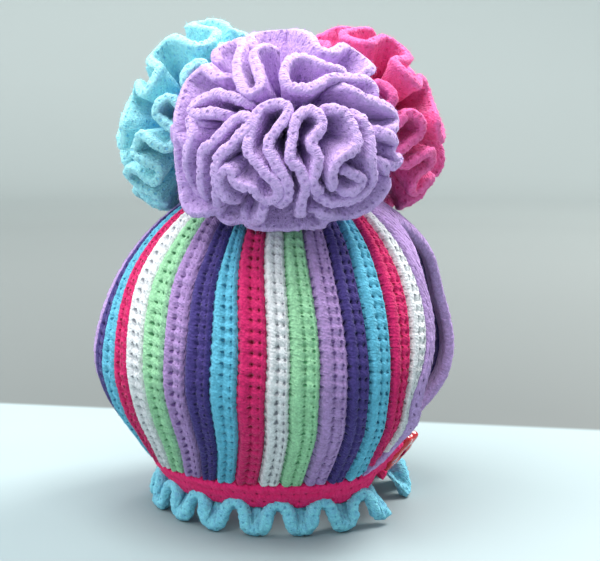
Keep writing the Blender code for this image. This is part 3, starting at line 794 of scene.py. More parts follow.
# %% Model the panels
COLUMNS_PER_STRIPE = 18
PANEL_ROWS, CROWN_ROWS = 232, 12  # close rows where they show, and wide ones under the flowers
ROWS_END = 0.86  # of the way up
CLOTH = 4.0  # how thick the panels are
TOOTH, TOOTH_SPREAD, TEETH_VARY = 0.11, 1.0, 1.2  # of the teeth where two colours meet
DRIFT, DRIFT_OVER = 0.05, 9.0  # how far a stripe's stitches wander, and over what length
NARROW, FLATTEST = 6.0, 0.2  # a stripe narrower than this has flatter stitches, down to this share


def panel(name, first_angle, at_front, seed):
    """The upright stripes from hem to crown, stitched outside and plain inside."""
    count = len(STRIPES)
    column = np.arange(COLUMNS_PER_STRIPE * count + 1)
    stripe = np.minimum(column // COLUMNS_PER_STRIPE, count - 1)
    across = column / COLUMNS_PER_STRIPE - stripe
    margin = np.degrees(stripes_end(HEM_Z) / radius_at(HEM))
    hem_share = np.interp(stripe + across, np.arange(count + 1), stripe_edges(np.array(HEM_Z)))
    hem_degrees = first_angle - HEM_LEAN + margin + (180.0 - 2.0 * margin) * hem_share
    hem = np.full(len(column), PANEL_LOW)
    if at_front:
        hem = hem_along(hem_degrees) + corner_rise(hem_degrees)
    close = np.linspace(0.0, ROWS_END, PANEL_ROWS + 1)
    share = np.append(close, np.linspace(ROWS_END, 1.0, CROWN_ROWS + 1)[1:])
    along = hem + (ALONG[-1] - hem) * share[:, None]
    height, radius = height_at(along), radius_at(along)
    margin = np.degrees(stripes_end(height) / radius)
    edges = stripe_edges(height)
    start, end = (np.take_along_axis(edges, (stripe + step)[None, :, None], -1)[..., 0] for step in (0, 1))
    wide = 180.0 - 2.0 * margin
    if at_front:
        wide = wide - np.degrees(bell(height, *DRAWN_BACK) / radius)
    width = np.radians(wide) * radius * (end - start)
    phase = chance(stripe, 3.0, seed)
    stitches = along / PANEL_PITCH + phase + DRIFT * np.sin(along / DRIFT_OVER + 4.0 * phase)
    degrees = first_angle + lean_at(height) + margin + wide * (start + (end - start) * across)
    if at_front:
        tucked = np.degrees(bell(height, *TUCKED_IN) / radius)
        degrees = degrees - tucked * np.where(stripe == count - 1, across, 0.0)
    inner = on_cloth(degrees, along, -CLOTH)[::INSIDE_ROWS, ::INSIDE_COLUMNS]
    from_edge = np.minimum(across, 1.0 - across) * width
    uneven = varied(TEETH_VARY, np.floor(stitches), 2.0, seed)
    tooth = TOOTH * uneven * np.sin(2 * np.pi * stitches) * bell(from_edge, 0.0, TOOTH_SPREAD)
    tooth = tooth * ((column > 0) & (column < column[-1]))
    relief = stripe_height(across, stitches, width, stripe + seed) * np.clip(width / NARROW, FLATTEST, 1.0)
    outer = on_cloth(degrees + np.degrees(tooth / radius), along, relief)
    return shell(name, outer, inner, together(3.0 * stripe + read(LADDER, across), stitches), stripe)


front_panel = panel("front_panel_stripes", -180.0, True, 1)
back_panel = panel("back_panel_stripes", 0.0, False, 2)
dress(front_panel, "front_panel")
dress(back_panel, "back_panel")

# %% [markdown]
# ## The edgings
# A strip of lilac crochet is worked round each opening: a closed ring round the spout's slot, and
# an arch over the handle's. Each strip is two rows wide and rolls over softly at the hole. It is
# swept as a tube: one section of the strip, repeated along the opening.

# %% Sweep a strip
STRIP = [  # across the strip from the stripes to the hole and back inside: share, height
    (0.0, -1.1), (0.03, -0.2), (0.08, 0.3), (0.16, 0.5), (0.24, 0.55), (0.32, 0.55), (0.4, 0.5),
    (0.48, 0.45), (0.56, 0.5), (0.64, 0.55), (0.72, 0.6), (0.8, 0.55), (0.87, 0.35), (0.93, -0.1),
    (0.97, -0.8), (1.0, -1.7), (0.995, -2.6), (0.96, -3.4), (0.88, -3.9), (0.66, -4.0), (0.44, -4.0),
    (0.22, -4.0), (0.02, -4.0), (0.0, -2.6),
]
STRIP_MIDDLE, STRIP_EDGE, STRIP_TURN, STRIP_SHOWN = 8, 14, 16, 18  # points of the section
STRIP_ROWS = 2.0  # rows of crochet across the strip
STRIP_NARROW, STRIP_FLATTEST = 8.0, 0.3
INSIDE_FLAT = 0.3  # how deep the stitches are on the side that lies inside
EDGING, EDGING_TOP, HOLE_TOP = 10.0, 134.0, 119.0
EDGING_INSET = 0.15
TOP_POWER, FOOT_POWER, FOOT_SHARE = 14, 3, 0.3  # how bluntly the hole closes, and over what share below
EDGING_LOW, EDGING_HIGH, HOLE_HIGH = HEM + HEM_LIFT + GAP, along_at(EDGING_TOP), along_at(HOLE_TOP)


def beside_seam(seam, side, width, along):
    """A place on the cloth this far to one side of a seam, as degrees and length up the profile."""
    return seam + lean_at(height_at(along)) + side * np.degrees(width / radius_at(along)), along


def hole_half_width(along, low=None):
    """The hole keeps the strip's width and closes in a round end, at the bottom too if low is given."""
    width = np.maximum(stripes_end(height_at(along)) - EDGING, 1.0)
    closing = clamp(along / HOLE_HIGH) ** TOP_POWER
    if low is not None:
        foot = clamp(1.0 - (along - low) / (FOOT_SHARE * (HOLE_HIGH - low)))
        closing = np.maximum(closing, foot**FOOT_POWER)
    return width * np.sqrt(clamp(1.0 - closing))


def strip(name, outer, hole, loop, seed):
    """A strip between two lines of places on the cloth."""
    share, lift = np.array(STRIP).T
    degrees, along = (a[:, None] + (b - a)[:, None] * share for a, b in zip(outer, hole))
    grid = on_cloth(degrees, along, lift)
    rounds = lengths_of(grid[:, STRIP_MIDDLE], loop) / PITCH
    if loop:
        rounds = rounds * round(rounds[-1]) / rounds[-1]
    over = np.append(share[:STRIP_TURN], 2.0 - share[STRIP_TURN:])
    across = STRIP_ROWS * np.append(over, 2.0) + 0.5
    relief = stitches_at(across[:-1], rounds[: len(grid), None], seed=seed)
    wide = np.linalg.norm(grid[:, 0] - grid[:, STRIP_EDGE], axis=1)
    relief = relief * np.where(np.arange(len(share)) < STRIP_SHOWN, 1.0, INSIDE_FLAT)
    grid = lifted(grid, relief * np.clip(wide / STRIP_NARROW, STRIP_FLATTEST, 1.0)[:, None], loop)
    return add_piece(name, *tube_grid(grid, together(across, rounds[:, None]), loop), [edging_yarn])


edging_holes = {"Radius": 0.5, "Least": 0.45}
edging_yarn = yarn("lilac_edging", (0.50, 0.32, 0.65), YARNS["lilac"][1], edging_holes, mark=0.85)
print("strips run from", round(float(EDGING_LOW), 1), "to", round(float(EDGING_HIGH), 1), "mm up the profile")

# %% Edge the spout's opening
SPOUT_HOLE_LOW, HEM_SHARE = 31.0, 0.14
SPOUT_STEPS = 200  # up each side


def spout_strip():
    """A closed ring. Below the slot its two sides are sewn together down to the hem."""
    run = (np.arange(2 * SPOUT_STEPS) + 0.5) / SPOUT_STEPS
    side = np.where(run < 1.0, 1.0, -1.0)
    run = np.minimum(run, 2.0 - run)
    outer_share = np.maximum(run - HEM_SHARE, 0.0) / (1.0 - HEM_SHARE)
    outer_along = EDGING_LOW + (EDGING_HIGH - EDGING_LOW) * outer_share
    outer_width = (stripes_end(height_at(outer_along)) - EDGING_INSET) * np.minimum(run / HEM_SHARE, 1.0)
    hole_low = along_at(SPOUT_HOLE_LOW)
    hole_along = hole_low + (HOLE_HIGH - hole_low) * (0.5 - 0.5 * np.cos(np.pi * run))
    outer = beside_seam(180.0, side, outer_width, outer_along)
    hole = beside_seam(180.0, side, hole_half_width(hole_along, hole_low), hole_along)
    return strip("spout_strip", outer, hole, True, 3)


spout_edging = spout_strip()
dress(spout_edging, "spout_edging")

# %% Edge the handle's opening
ROLLED_IN = [(30.0, 0.0), (50.0, 3.5), (62.0, 5.0), (95.0, 5.3), (103.0, 3.0), (110.0, 0.0)]  # height, width
ARCH_STEPS, CORNER_STEPS = 190, 24  # up each side, and along the end that is turned in
ARCH_POWER, ARCH_CLOSES = 1.3, 30  # how its steps spread, and how late its outer edges meet
TURNED_SHARE, TURNED_WIDE = 0.6, 4.0  # of the way to the corner, and degrees


def back_at_front(height):
    """How far the strip's outer edge moves with the front panel's."""
    return bell(height, *DRAWN_BACK) + bell(height, *TUCKED_IN)


def handle_strip():
    """An arch, open below where the tab closes it. Its front end turns in under the panel's corner."""
    turned = np.arange(CORNER_STEPS) / CORNER_STEPS
    corner = beside_seam(0.0, -1.0, stripes_end(height_at(hem_along(CORNER_TO))), 0.0)[0]
    degrees = corner - (corner - CORNER_FROM) * TURNED_SHARE * (1.0 - turned)
    hem = hem_along(degrees)
    inner_edge = degrees + TURNED_WIDE * turned, hem + 2 * GAP
    under = (degrees, hem + corner_rise(degrees) - EDGING_INSET), inner_edge
    run = 1.0 - np.arange(2 * ARCH_STEPS + 1) / ARCH_STEPS
    side = -np.where(run < 0.0, -1.0, 1.0)
    up = 1.0 - np.abs(run) ** ARCH_POWER
    rough = beside_seam(0.0, side, stripes_end(HEM_Z), HEM)[0]
    low = np.where(side < 0, hem_along(rough) + corner_rise(rough), EDGING_LOW)
    outer_along = low + (EDGING_HIGH - low) * up
    outer_z = height_at(outer_along)
    wide = stripes_end(outer_z) + np.where(side < 0, back_at_front(outer_z), 0.0)
    arch = beside_seam(0.0, side, (wide - EDGING_INSET) * (1.0 - up**ARCH_CLOSES), outer_along)
    hole_low = np.where(side < 0, hem_along(rough + EDGING), low)
    hole_along = hole_low + (HOLE_HIGH - hole_low) * up
    hole_z = height_at(hole_along)
    rolled = np.where(side < 0, back_at_front(hole_z) + read(ROLLED_IN, hole_z), 0.0)
    hole = beside_seam(0.0, side, hole_half_width(hole_along) + rolled, hole_along)
    outer, hole = ([np.concatenate(pair) for pair in zip(*lines)] for lines in zip(under, (arch, hole)))
    return strip("handle_strip", outer, hole, False, 4)


handle_edging = handle_strip()
dress(handle_edging, "handle_edging")

# %% [markdown]
# ## The band and its tab
# The pink band is three rows of plain crochet, worked sideways. It gathers the hem, goes once
# round, and its end climbs over its start under the handle, where it buttons.

# %% Seat the button on the tab
BAND_HEIGHT, BAND_THICK = 12.0 + HEM_LIFT, 3.2
BAND_FROM, TAB_LIFT = -366.0, 2.9
BUTTON_RADIUS, PETAL_DEPTH, PETALS, BUTTON_THICK, BUTTON_PHI = 9.3, 1.2, 6, 3.0, -1.0
BUTTON_PRESSED, BUTTON_TILT = 1.0, -14.0  # into the soft tab, and towards the front
BUTTON_REACH = BUTTON_RADIUS + PETAL_DEPTH


def band_middle(degrees):
    return HEM + HEM_LIFT - GAP / 2 - BAND_HEIGHT / 2 + tab_rise(degrees)


def button_seat():
    """Where the button's back lies on the tab, and the way it faces."""

    def on_tab(degrees, along):
        return on_cloth(BUTTON_PHI + degrees, band_middle(BUTTON_PHI) + along, TAB_LIFT)

    middle = on_tab(0.0, 0.0)
    out = unit(np.cross(on_tab(4.0, 0.0) - on_tab(-4.0, 0.0), on_tab(0.0, 4.0) - on_tab(0.0, -4.0)))
    spread = math.degrees(BUTTON_REACH / radius_at(HEM))
    across, along = np.meshgrid(np.arange(-4, 5) / 4.0, np.arange(-4, 5) / 4.0)
    highest = ((on_tab(across * spread, along * BAND_HEIGHT / 2) - middle) @ out).max()
    tilt = math.radians(BUTTON_TILT)
    turn = np.array([[math.cos(tilt), -math.sin(tilt), 0], [math.sin(tilt), math.cos(tilt), 0], [0, 0, 1]])
    return middle + out * (highest + GAP - BUTTON_PRESSED), turn @ out


SEAT, FACING = button_seat()
print("the button sits at", SEAT.round(1), "mm and faces", FACING.round(2))

# %% Model the band
TAB_LIFTS = (-24.0, -10.0)  # degrees
START_SUNK, SUNK = 1.4, (-346.0, -334.0)  # the band's start gives way under the tab
BAND = [  # round the band's section from its lower edge outside: share of its height, height off the cloth
    (0.0, -1.2), (0.02, -0.5), (0.07, 0.05), (0.14, 0.3), (0.21, 0.35), (0.28, 0.3), (0.35, 0.25),
    (0.42, 0.35), (0.5, 0.4), (0.58, 0.35), (0.65, 0.25), (0.72, 0.3), (0.79, 0.35), (0.86, 0.3),
    (0.93, 0.05), (0.98, -0.5), (1.0, -1.3), (1.0, -2.2), (0.96, -BAND_THICK + 0.2), (0.8, -BAND_THICK),
    (0.5, -BAND_THICK), (0.2, -BAND_THICK), (0.04, -BAND_THICK + 0.2), (0.0, -2.2),
]
BAND_MIDDLE, BAND_TURN, BAND_ROWS, BAND_SECTIONS = 8, 17, 3.0, 620
BAND_FLAT = 0.9  # how deep its stitches are
TAB_ROUND, TAB_END = 9.0, 0.3  # degrees over which the tab's end is rounded, and its height at the very end
PRESS_FADES = 3.0  # over this length beyond the button's edge


def pressed_down(points):
    """The soft tab gives way under the button's back."""
    height = (points - SEAT) @ FACING
    away = np.linalg.norm(points - SEAT - height[..., None] * FACING, axis=-1)
    under = 1.0 - ease(away, BUTTON_REACH, BUTTON_REACH + PRESS_FADES)
    return points - (np.maximum(height + GAP / 2, 0.0) * under)[..., None] * FACING


def band_piece(material):
    """The hem band, with its end lapped over its start and rounded into a buttoning tab."""
    degrees = np.linspace(BAND_FROM, BAND_TO, BAND_SECTIONS)
    lift = TAB_LIFT * ease(degrees, *TAB_LIFTS) - START_SUNK * (1.0 - ease(degrees, *SUNK))
    lift = lift + bell(degrees, *LOOSE)
    left = clamp((BAND_TO - degrees) / TAB_ROUND)
    half = 0.5 * BAND_HEIGHT * (TAB_END + (1.0 - TAB_END) * np.sqrt(1.0 - (1.0 - left) ** 2))
    middle = band_middle(degrees)
    low, high = np.maximum(middle - half, 0.0), middle + half
    share, height = np.array(BAND).T
    along = low[:, None] + (high - low)[:, None] * share
    grid = on_cloth(degrees[:, None], along, lift[:, None] + height)
    length = lengths_of(grid[:, BAND_MIDDLE]) / PITCH
    across = BAND_ROWS * np.append(np.append(share[:BAND_TURN], 2.0 - share[BAND_TURN:]), 2.0)
    relief = stitches_at(across[:-1], length[:, None], BAND_FLAT, seed=5)
    relief = relief * np.where(np.arange(len(share)) < BAND_TURN, 1.0, INSIDE_FLAT)
    grid = pressed_down(lifted(grid, relief))
    return add_piece("band_and_tab", *tube_grid(grid, together(across, length[:, None])), [material])


base_band = band_piece(band_yarn)
dress(base_band, "base_band")

# %% [markdown]
# ## The frill
# The turquoise ribbon has more stitches than the band it hangs from, so it waves: each lobe
# stands on the table and the ribbon lifts into an arch between two lobes. It ends either side of the tab.

# %% Make a wall of crochet
RIM = [  # depth under the rim and half-width of the wall there
    (0.0, 0.0), (0.25, 1.15), (0.9, 2.1), (1.9, 2.65), (3.0, 2.8), (4.2, 2.6), (5.5, 2.2), (7.0, 1.9),
]
WEB = [(0.3, 1.8), (0.65, 1.75), (1.0, 1.7)]  # share of the way from the rim to the root, half-width
RIM_DEEP, RIM_ROUND = RIM[-1][0], 6.0  # how deep the rim's sections go, and its thick part
SWELL, SWELL_OVER = 0.07, 3.7  # share of the thickness, and millimetres
END_TAPER, END_THIN = 3.0, 0.02  # an open end narrows over this length, to the square root of this share
WEB_KEEPS = 0.4  # of the web's thickness, however thin the wall is
WALL_ROW, WALL_PITCH = 3.3, 3.2
WALL_ROUGH = [(0.34, 1.6, 1.55), (0.14, 2.7, 3.0)]
WALL_PAD, WALL_STRAND, WALL_CREASE, WALL_PIT, WALL_PIT_RADIUS = 0.4, 0.08, (0.0, 0.12, -0.22), 0.4, 0.55
WALL_PADS_VARY = 0.8
WALL_HOLES = {"Stagger": STAGGER, "Row": WALL_ROW, "Pitch": WALL_PITCH}


def wall_relief(spots, seed):
    """Height of a wall's stitches. A line of holes runs along the middle of its rim."""
    across, along = spots[..., 0], spots[..., 1]
    in_stitch = along + STAGGER * np.floor(across)
    pad = hump(in_stitch, PAD_POWER) - 0.5
    uneven = varied(WALL_PADS_VARY, np.floor(across), np.floor(in_stitch), seed)
    strand = strands_at(across, along, WALL_STRAND)
    crease = bell(across - np.round(across), *WALL_CREASE)
    rough = rough_at(across, along, WALL_ROUGH, seed)
    holes = holes_at(across, along, WALL_ROW, WALL_PITCH, STAGGER, WALL_PIT_RADIUS, seed)
    return WALL_PAD * pad * uneven + strand + crease + rough - WALL_PIT * holes


def wall_sections(deep, at, closed, seed, thick=1.0):
    """Depths and half-widths of a wall's sections, and the map of its stitches."""
    rim_depth, rim_half = np.array(RIM).T
    web_share, web_half = np.array(WEB).T
    rim_depth = rim_depth * np.where(rim_depth < RIM_ROUND, thick, 1.0)
    web_depth = RIM_DEEP + (deep - RIM_DEEP)[:, None] * web_share
    depth = np.concatenate([np.tile(rim_depth, (len(at), 1)), web_depth], axis=1)
    web_half = web_half * (WEB_KEEPS + (1.0 - WEB_KEEPS) * thick)
    half = np.tile(np.append(rim_half * thick, web_half), (len(at), 1))
    half = half * (1.0 + SWELL * np.sin(at / SWELL_OVER + seed)[:, None])
    if not closed:
        half = half * np.sqrt(np.clip(np.minimum(at, at[-1] - at) / END_TAPER, END_THIN, 1.0))[:, None]
    over = np.cumsum(np.hypot(np.diff(depth, axis=1), np.diff(half, axis=1)), axis=1) / WALL_ROW
    across = np.concatenate([-over[:, ::-1], np.zeros((len(at), 1)), over, 1.2 * over[:, -1:]], axis=1)
    return depth, half, across


def two_faces(spine, side, half):
    """A wall's sections: up its left face and down its right."""
    step = side[:, None] * half[..., None]
    return np.concatenate([(spine + step)[:, ::-1], (spine - step)[:, 1:]], axis=1)


def respaced(line, length, at):
    """The points of a line at these lengths along it."""
    return np.stack([np.interp(at, length, column) for column in line.T], axis=-1)


print("a wall's rim is", 2 * max(half for _, half in RIM), "mm thick")

# %% Model the frill
FRILL_LOBES, LOBE_PITCH, FIRST_LOBE = 16, 20.0, -348.0
FRILL_LOW, FRILL_HIGH, FRILL_OUT = 0.5, 13.2, 53.0  # height at a lobe and at an arch, and radius
LOBES_CLOSE, ARCH_FULL, ARCH_UNEVEN = 1.35, 1.15, 1.6  # degrees, a power and millimetres
FRILL_OUT_AT_SPOUT = (-166.0, 24.0, 3.2)  # middle and spread in degrees, and how much further out it stands
FRILL_SEED, FRILL_STATION, FRILL_POINTS, FRILL_SPARE = 6, 0.9, 2400, 0.6  # spare: radians past its ends
FRILL_WAVES = (1.0, -0.8)  # how far a lobe stands out, and how its loop bulges
TALLER_OUT, RISEN_OUT, LOOSE_OUT, FRILL_TUCKED = 0.8, 0.4, 1.3, 1.6
LOBE_LIFT = 0.35  # how far the lobes go up with the tab, beside its full rise
FRILL_HALF, FRILL_THINNER, FRILL_THINS = 0.94, 0.35, (3.5, 8.0)  # of the wall's thickness; depths


def frill_piece(material):
    """A ribbon that waves under the band: its lobes stand on the table, its arches climb over the band."""
    phase = np.linspace(-FRILL_SPARE, 2 * np.pi * FRILL_LOBES + FRILL_SPARE, FRILL_POINTS)

    def wander(step, row):
        """From -0.5 to 0.5, with a new number at each step of the phase."""
        marks = np.arange(-1, 2 * FRILL_LOBES + 2)
        return np.interp(phase, step * marks, chance(marks, row, FRILL_SEED) - 0.5)

    hung_at = FIRST_LOBE + LOBE_PITCH * phase / (2 * np.pi)
    degrees = hung_at + LOBES_CLOSE * np.sin(2.0 * phase) + wander(2 * np.pi, 1.0)
    up, taller, rise = (0.5 - 0.5 * np.cos(phase)) ** ARCH_FULL, wander(np.pi, 2.0), tab_rise(degrees)
    arch = (FRILL_HIGH - FRILL_LOW + ARCH_UNEVEN * taller) * up
    rim_z = FRILL_LOW + arch + rise * (LOBE_LIFT + (1.0 - LOBE_LIFT) * up)
    rim_r = FRILL_OUT + FRILL_WAVES[0] * np.cos(phase) + FRILL_WAVES[1] * np.cos(2 * phase)
    rim_r = rim_r + TALLER_OUT * taller + RISEN_OUT * rise
    rim_r = rim_r + bell(degrees, *FRILL_OUT_AT_SPOUT) + LOOSE_OUT * bell(degrees, *LOOSE)
    rim = around(rim_r, np.radians(degrees), rim_z)
    length = lengths_of(rim)
    at = np.linspace(0.0, length[-1], round(length[-1] / FRILL_STATION) + 1)
    rim, degrees = respaced(rim, length, at), np.interp(at, length, hung_at)
    band_low = HEM - BAND_HEIGHT + HEM_LIFT - GAP + tab_rise(degrees)
    root = on_cloth(degrees, band_low, bell(degrees, *LOOSE) - FRILL_TUCKED)
    inward = unit(root - rim)
    side = unit(smoothed(unit(np.cross(np.gradient(rim, axis=0), inward)), 1, False))
    depth, half, across = wall_sections(np.linalg.norm(rim - root, axis=1), at, False, 3.0)
    half = half * (FRILL_HALF - FRILL_THINNER * ease(depth, *FRILL_THINS))
    grid = two_faces(rim[:, None] + inward[:, None] * depth[..., None], side, half)
    spots = together(across, (at / WALL_PITCH)[:, None])
    grid = lifted(grid, wall_relief(spots[:, :-1], FRILL_SEED))
    grid[..., 2] = np.maximum(grid[..., 2], 0.0)  # it stands on the table
    return add_piece("frill_ribbon", *tube_grid(grid, spots), [material])


# painted light: the frill's turquoise is a paler copy of the stripes' yarn, to make up for the little light
# that reaches it low on the table
frill_yarn = yarn("turquoise_frill", (0.25, 0.73, 1.0), (0.04, 0.32, 0.56), WALL_HOLES, mark=0.5, dimmed=0.82)
frill = frill_piece(frill_yarn)
dress(frill, "frill")

# %% [markdown]
# ## The flowers
# A flower is one long ruffle of crochet. Many more stitches are worked into its rim than into its
# middle, so the rim has nowhere to go and folds into loops. Here each wall follows a line of
# directions from the flower's middle. The wall has a thick rim and a thin web that runs down to a
# round heart.

# %% Set the flowers' frames
FLOWERS = {  # direction, distance and height of its middle; lean of its face; radius; rise of its top folds
    "flower_lilac": (-74.0, 36.0, 158.0, 42.0, 44.0, 0.10),
    "flower_pink": (46.0, 38.5, 158.0, 52.0, 42.5, 0.20),
    "flower_turquoise": (166.0, 38.5, 158.0, 52.0, 42.5, 0.26),
}
FLOWER_FRONT, FLOWER_BACK, FLOWER_STEM = 28.5, 36.0, 22.0
UP = np.array([0.0, 0.0, 1.0])
GLOBE = 62.0 * UP  # the crown is nearly a ball round this point
BOUND = 16  # the higher it is, the sharper the corner between two bounds
STEM_WIDENS = (0.55, 0.9)  # towards the crown behind
NEIGHBOURS, SLOWEST = (-60.0, 60.0), 0.02  # degrees to the bounds; a direction this flat never meets one


def flower_frame(direction, distance, height, lean, across, crest):
    """The middle of a flower, the way it faces and the two axes across it."""
    angle, tilt = math.radians(direction), math.radians(lean)
    outward = np.array([math.cos(angle), math.sin(angle), 0.0])
    sideways = np.array([-math.sin(angle), math.cos(angle), 0.0])
    facing = outward * math.sin(tilt) + math.cos(tilt) * UP
    axes = np.array([np.cross(sideways, facing), sideways])
    middle = outward * distance + height * UP
    made = {"direction": direction, "across": across, "middle": middle}
    return {**made, "axes": axes, "facing": facing, "crest": crest}


CROWN = OUTLINE[(OUTLINE[:, 1] < 60.0) & (OUTLINE[:, 0] > GLOBE[2])]
GLOBE_RADIUS = np.hypot(CROWN[:, 1], CROWN[:, 0] - GLOBE[2]).max() + 1.5 * GAP
frames = {name: flower_frame(*place) for name, place in FLOWERS.items()}
print("flowers at", [flower["middle"].round(0).tolist() for flower in frames.values()])


# %% Find how far a flower reaches
def flower_reach(flower, towards):
    """How far a flower reaches: its own round, held back by the crown and by the flowers beside it."""
    across, middle = flower["across"], flower["middle"]
    ahead = towards @ flower["facing"]
    sideways = np.sqrt(np.maximum(1.0 - ahead**2, 0.0))
    deep = np.where(ahead > 0, FLOWER_FRONT, FLOWER_BACK + FLOWER_STEM * ease(-ahead, *STEM_WIDENS))
    total = (across * np.hypot(sideways / across, ahead / deep)) ** BOUND
    for turn in NEIGHBOURS:
        angle = math.radians(flower["direction"] + turn)
        wall = np.array([-math.sin(angle), math.cos(angle), 0.0]) * math.copysign(1.0, turn)
        speed = towards @ wall
        limit = (-middle @ wall - GAP / 2) / np.maximum(speed, SLOWEST)
        total = total + np.where(speed > SLOWEST, (limit / across) ** -BOUND, 0.0)
    offset = middle - GLOBE
    along = -towards @ offset
    miss = offset @ offset - along**2
    near = along - np.sqrt(np.maximum(GLOBE_RADIUS**2 - miss, 0.0))
    held = (along > 0) & (miss < GLOBE_RADIUS**2)
    total = total + np.where(held, (np.maximum(near, 1.0) / across) ** -BOUND, 0.0)
    return across * total ** (-1 / BOUND)


def ruffle_direction(flower, turn, polar):
    """Directions from a flower's middle: degrees round its face, and degrees away from it."""
    turn, polar = np.radians(turn)[..., None], np.radians(polar)[..., None]
    first, second = flower["axes"]
    spread = (first * np.cos(turn) + second * np.sin(turn)) * flower["across"]
    deep = np.where(polar < np.pi / 2, FLOWER_FRONT, FLOWER_BACK)
    return unit(spread * np.sin(polar) + flower["facing"] * np.cos(polar) * deep)


for name, flower in frames.items():
    print(name, "reaches", round(float(flower_reach(flower, UP)), 1), "mm up")

# %% Lay out the lilac flower's folds
LILAC_FOLDS = [  # each wall's rim as degrees round the face and away from it, and at times its reach
    [(-36, 113, 1.06), (-44, 113, 1.11), (-51, 115, 1.18), (-57, 114, 1.18), (-64, 109, 1.11),
     (-71, 101, 1.03), (-74, 91), (-81, 79), (-93, 67), (-107, 62), (-111, 49), (-103, 42), (-96, 37),
     (-98, 31), (-103, 27)],
    [(-119, 45), (-131, 52), (-145, 48), (-143, 38), (-133, 30), (-111, 26), (-86, 24), (-66, 24),
     (-54, 23), (-54, 17), (-75, 14), (-108, 16), (-129, 20), (-161, 22), (-173, 23)],
    [(-145, 25), (-147, 31), (-154, 42), (-163, 53), (-178, 52), (176, 52), (166, 35), (156, 30),
     (139, 24), (127, 28), (132, 39), (137, 53), (133, 59), (127, 62), (114, 55), (104, 46)],
    [(-41, 28), (-61, 30), (-73, 35), (-78, 38), (-80, 47), (-80, 56), (-78, 58), (-72, 54), (-66, 47),
     (-60, 43), (-50, 40)],
    [(-64, 57), (-72, 61), (-75, 62), (-70, 63), (-64, 66), (-62, 74), (-61, 93), (-62, 108),
     (-57, 112, 1.04), (-51, 114, 1.09)],
    [(-46, 116, 1.1), (-50, 115), (-48, 97), (-49, 83), (-51, 75), (-53, 68), (-49, 59), (-47, 47),
     (-46, 41), (-43, 36), (-37, 35), (-31, 37), (-34, 43), (-37, 53), (-41, 64), (-39, 78), (-38, 91),
     (-41, 110), (-40, 119, 1.05), (-33, 119, 1.06), (-26, 118), (-17, 110), (-13, 97), (-13, 88)],
    [(-26, 102), (-30, 97), (-36, 85), (-37, 78), (-36, 72), (-34, 68), (-31, 69), (-30, 74), (-25, 77),
     (-18, 76), (-15, 82), (-10, 84), (-6, 81), (-5, 74), (-9, 67), (-18, 59), (-26, 52), (-29, 41),
     (-31, 29), (-28, 25), (-19, 22), (-7, 21), (1, 24), (-2, 29), (-11, 39), (-14, 44), (-13, 49),
     (-7, 58), (-1, 68), (0, 75), (-1, 83), (-4, 90), (-9, 94)],
    [(7, 107), (6, 92), (7, 83), (9, 74), (8, 66), (6, 60), (2, 56), (1, 51), (2, 45), (5, 35), (9, 30),
     (17, 27), (25, 27), (30, 30), (31, 34), (28, 39), (21, 42), (16, 47), (18, 53), (17, 58), (13, 70),
     (14, 77), (17, 82), (21, 82)],
    [(34, 31), (44, 31), (52, 36), (53, 42), (50, 49), (47, 56), (42, 59), (35, 59), (29, 60), (25, 64),
     (23, 70), (23, 76), (25, 81), (28, 78)],
    [(58, 39), (62, 45), (60, 52), (57, 60), (52, 67), (48, 76), (48, 89), (47, 96), (41, 98), (35, 97),
     (28, 94), (22, 93), (16, 88), (12, 90)],
    [(29, 73), (33, 72), (38, 78), (40, 85), (36, 88), (31, 88), (25, 88)],
    [(56, 79), (60, 90), (65, 103), (61, 105, 1.07), (56, 108, 1.09), (50, 112, 1.1), (44, 115, 1.08),
     (38, 118, 1.05), (31, 119), (21, 106), (14, 97), (11, 103)],
    [(-27, 108), (-20, 118, 1.03), (-9, 121, 1.05), (2, 119, 1.04), (11, 121, 1.05), (20, 118, 1.03),
     (25, 108)],
    [(65, 59), (67, 66), (72, 77), (78, 92), (72, 92), (72, 96, 1.07), (70, 99, 1.06), (61, 92)],
    [(98, 37), (100, 28), (105, 20), (123, 15), (144, 11), (164, 6), (282, 1), (350, 7), (367, 11),
     (387, 13), (402, 16), (423, 18), (438, 20), (450, 27), (455, 37), (457, 45), (454, 51), (449, 55),
     (445, 58)],
    [(79, 24), (80, 30), (79, 37), (79, 44), (82, 54), (86, 66), (88, 77), (82, 79), (70, 72)],
]
print(len(LILAC_FOLDS), "walls laid out with", sum(len(wall) for wall in LILAC_FOLDS), "points")

# %% Let the other folds meander
FOLD = [  # one fold of a plain wall: share of its pitch, share of the way out
    (-0.25, 0.88), (-0.03, 1.0), (0.2, 0.86), (0.21, 0.5),
    (0.22, 0.14), (0.46, 0.0), (0.72, 0.13), (0.74, 0.5),
]
START_VARIES, TURN_VARIES, REACH_VARIES = 0.06, 0.035, 0.05
DEEP_VARIES, SHALLOW_VARIES = (-0.03, 0.22), (-0.03, 0.2)
ROUNDS = [  # folds, first and last degree round the face, degrees away from it at their inner and outer ends
    (3, 0.0, 360.0, 5.0, 21.0), (8, 10.0, 370.0, 27.0, 73.0), (13, 0.0, 360.0, 83.0, 116.0),
]


def meander(folds, first, last, inner, outer, seed, closed):
    """Folds that loop in and out between two circles, no two alike."""
    chosen = np.random.default_rng(seed)
    pitch, swing = (last - first) / folds, outer - inner
    line = []
    for fold in range(folds):
        start = first + pitch * (fold + 0.25 + chosen.uniform(-START_VARIES, START_VARIES))
        deep = inner + swing * chosen.uniform(*DEEP_VARIES)
        shallow = outer - swing * chosen.uniform(*SHALLOW_VARIES)
        for across, out in FOLD:
            turn = start + pitch * (across + chosen.uniform(-TURN_VARIES, TURN_VARIES))
            line.append((turn, deep + (shallow - deep) * out, 1.0 - chosen.uniform(0.0, REACH_VARIES)))
    return line, closed


def plain_walls(seed):
    """Three rounds of folds, for a flower that turns away."""
    return [meander(*sizes, seed + place, True) for place, sizes in enumerate(ROUNDS)]


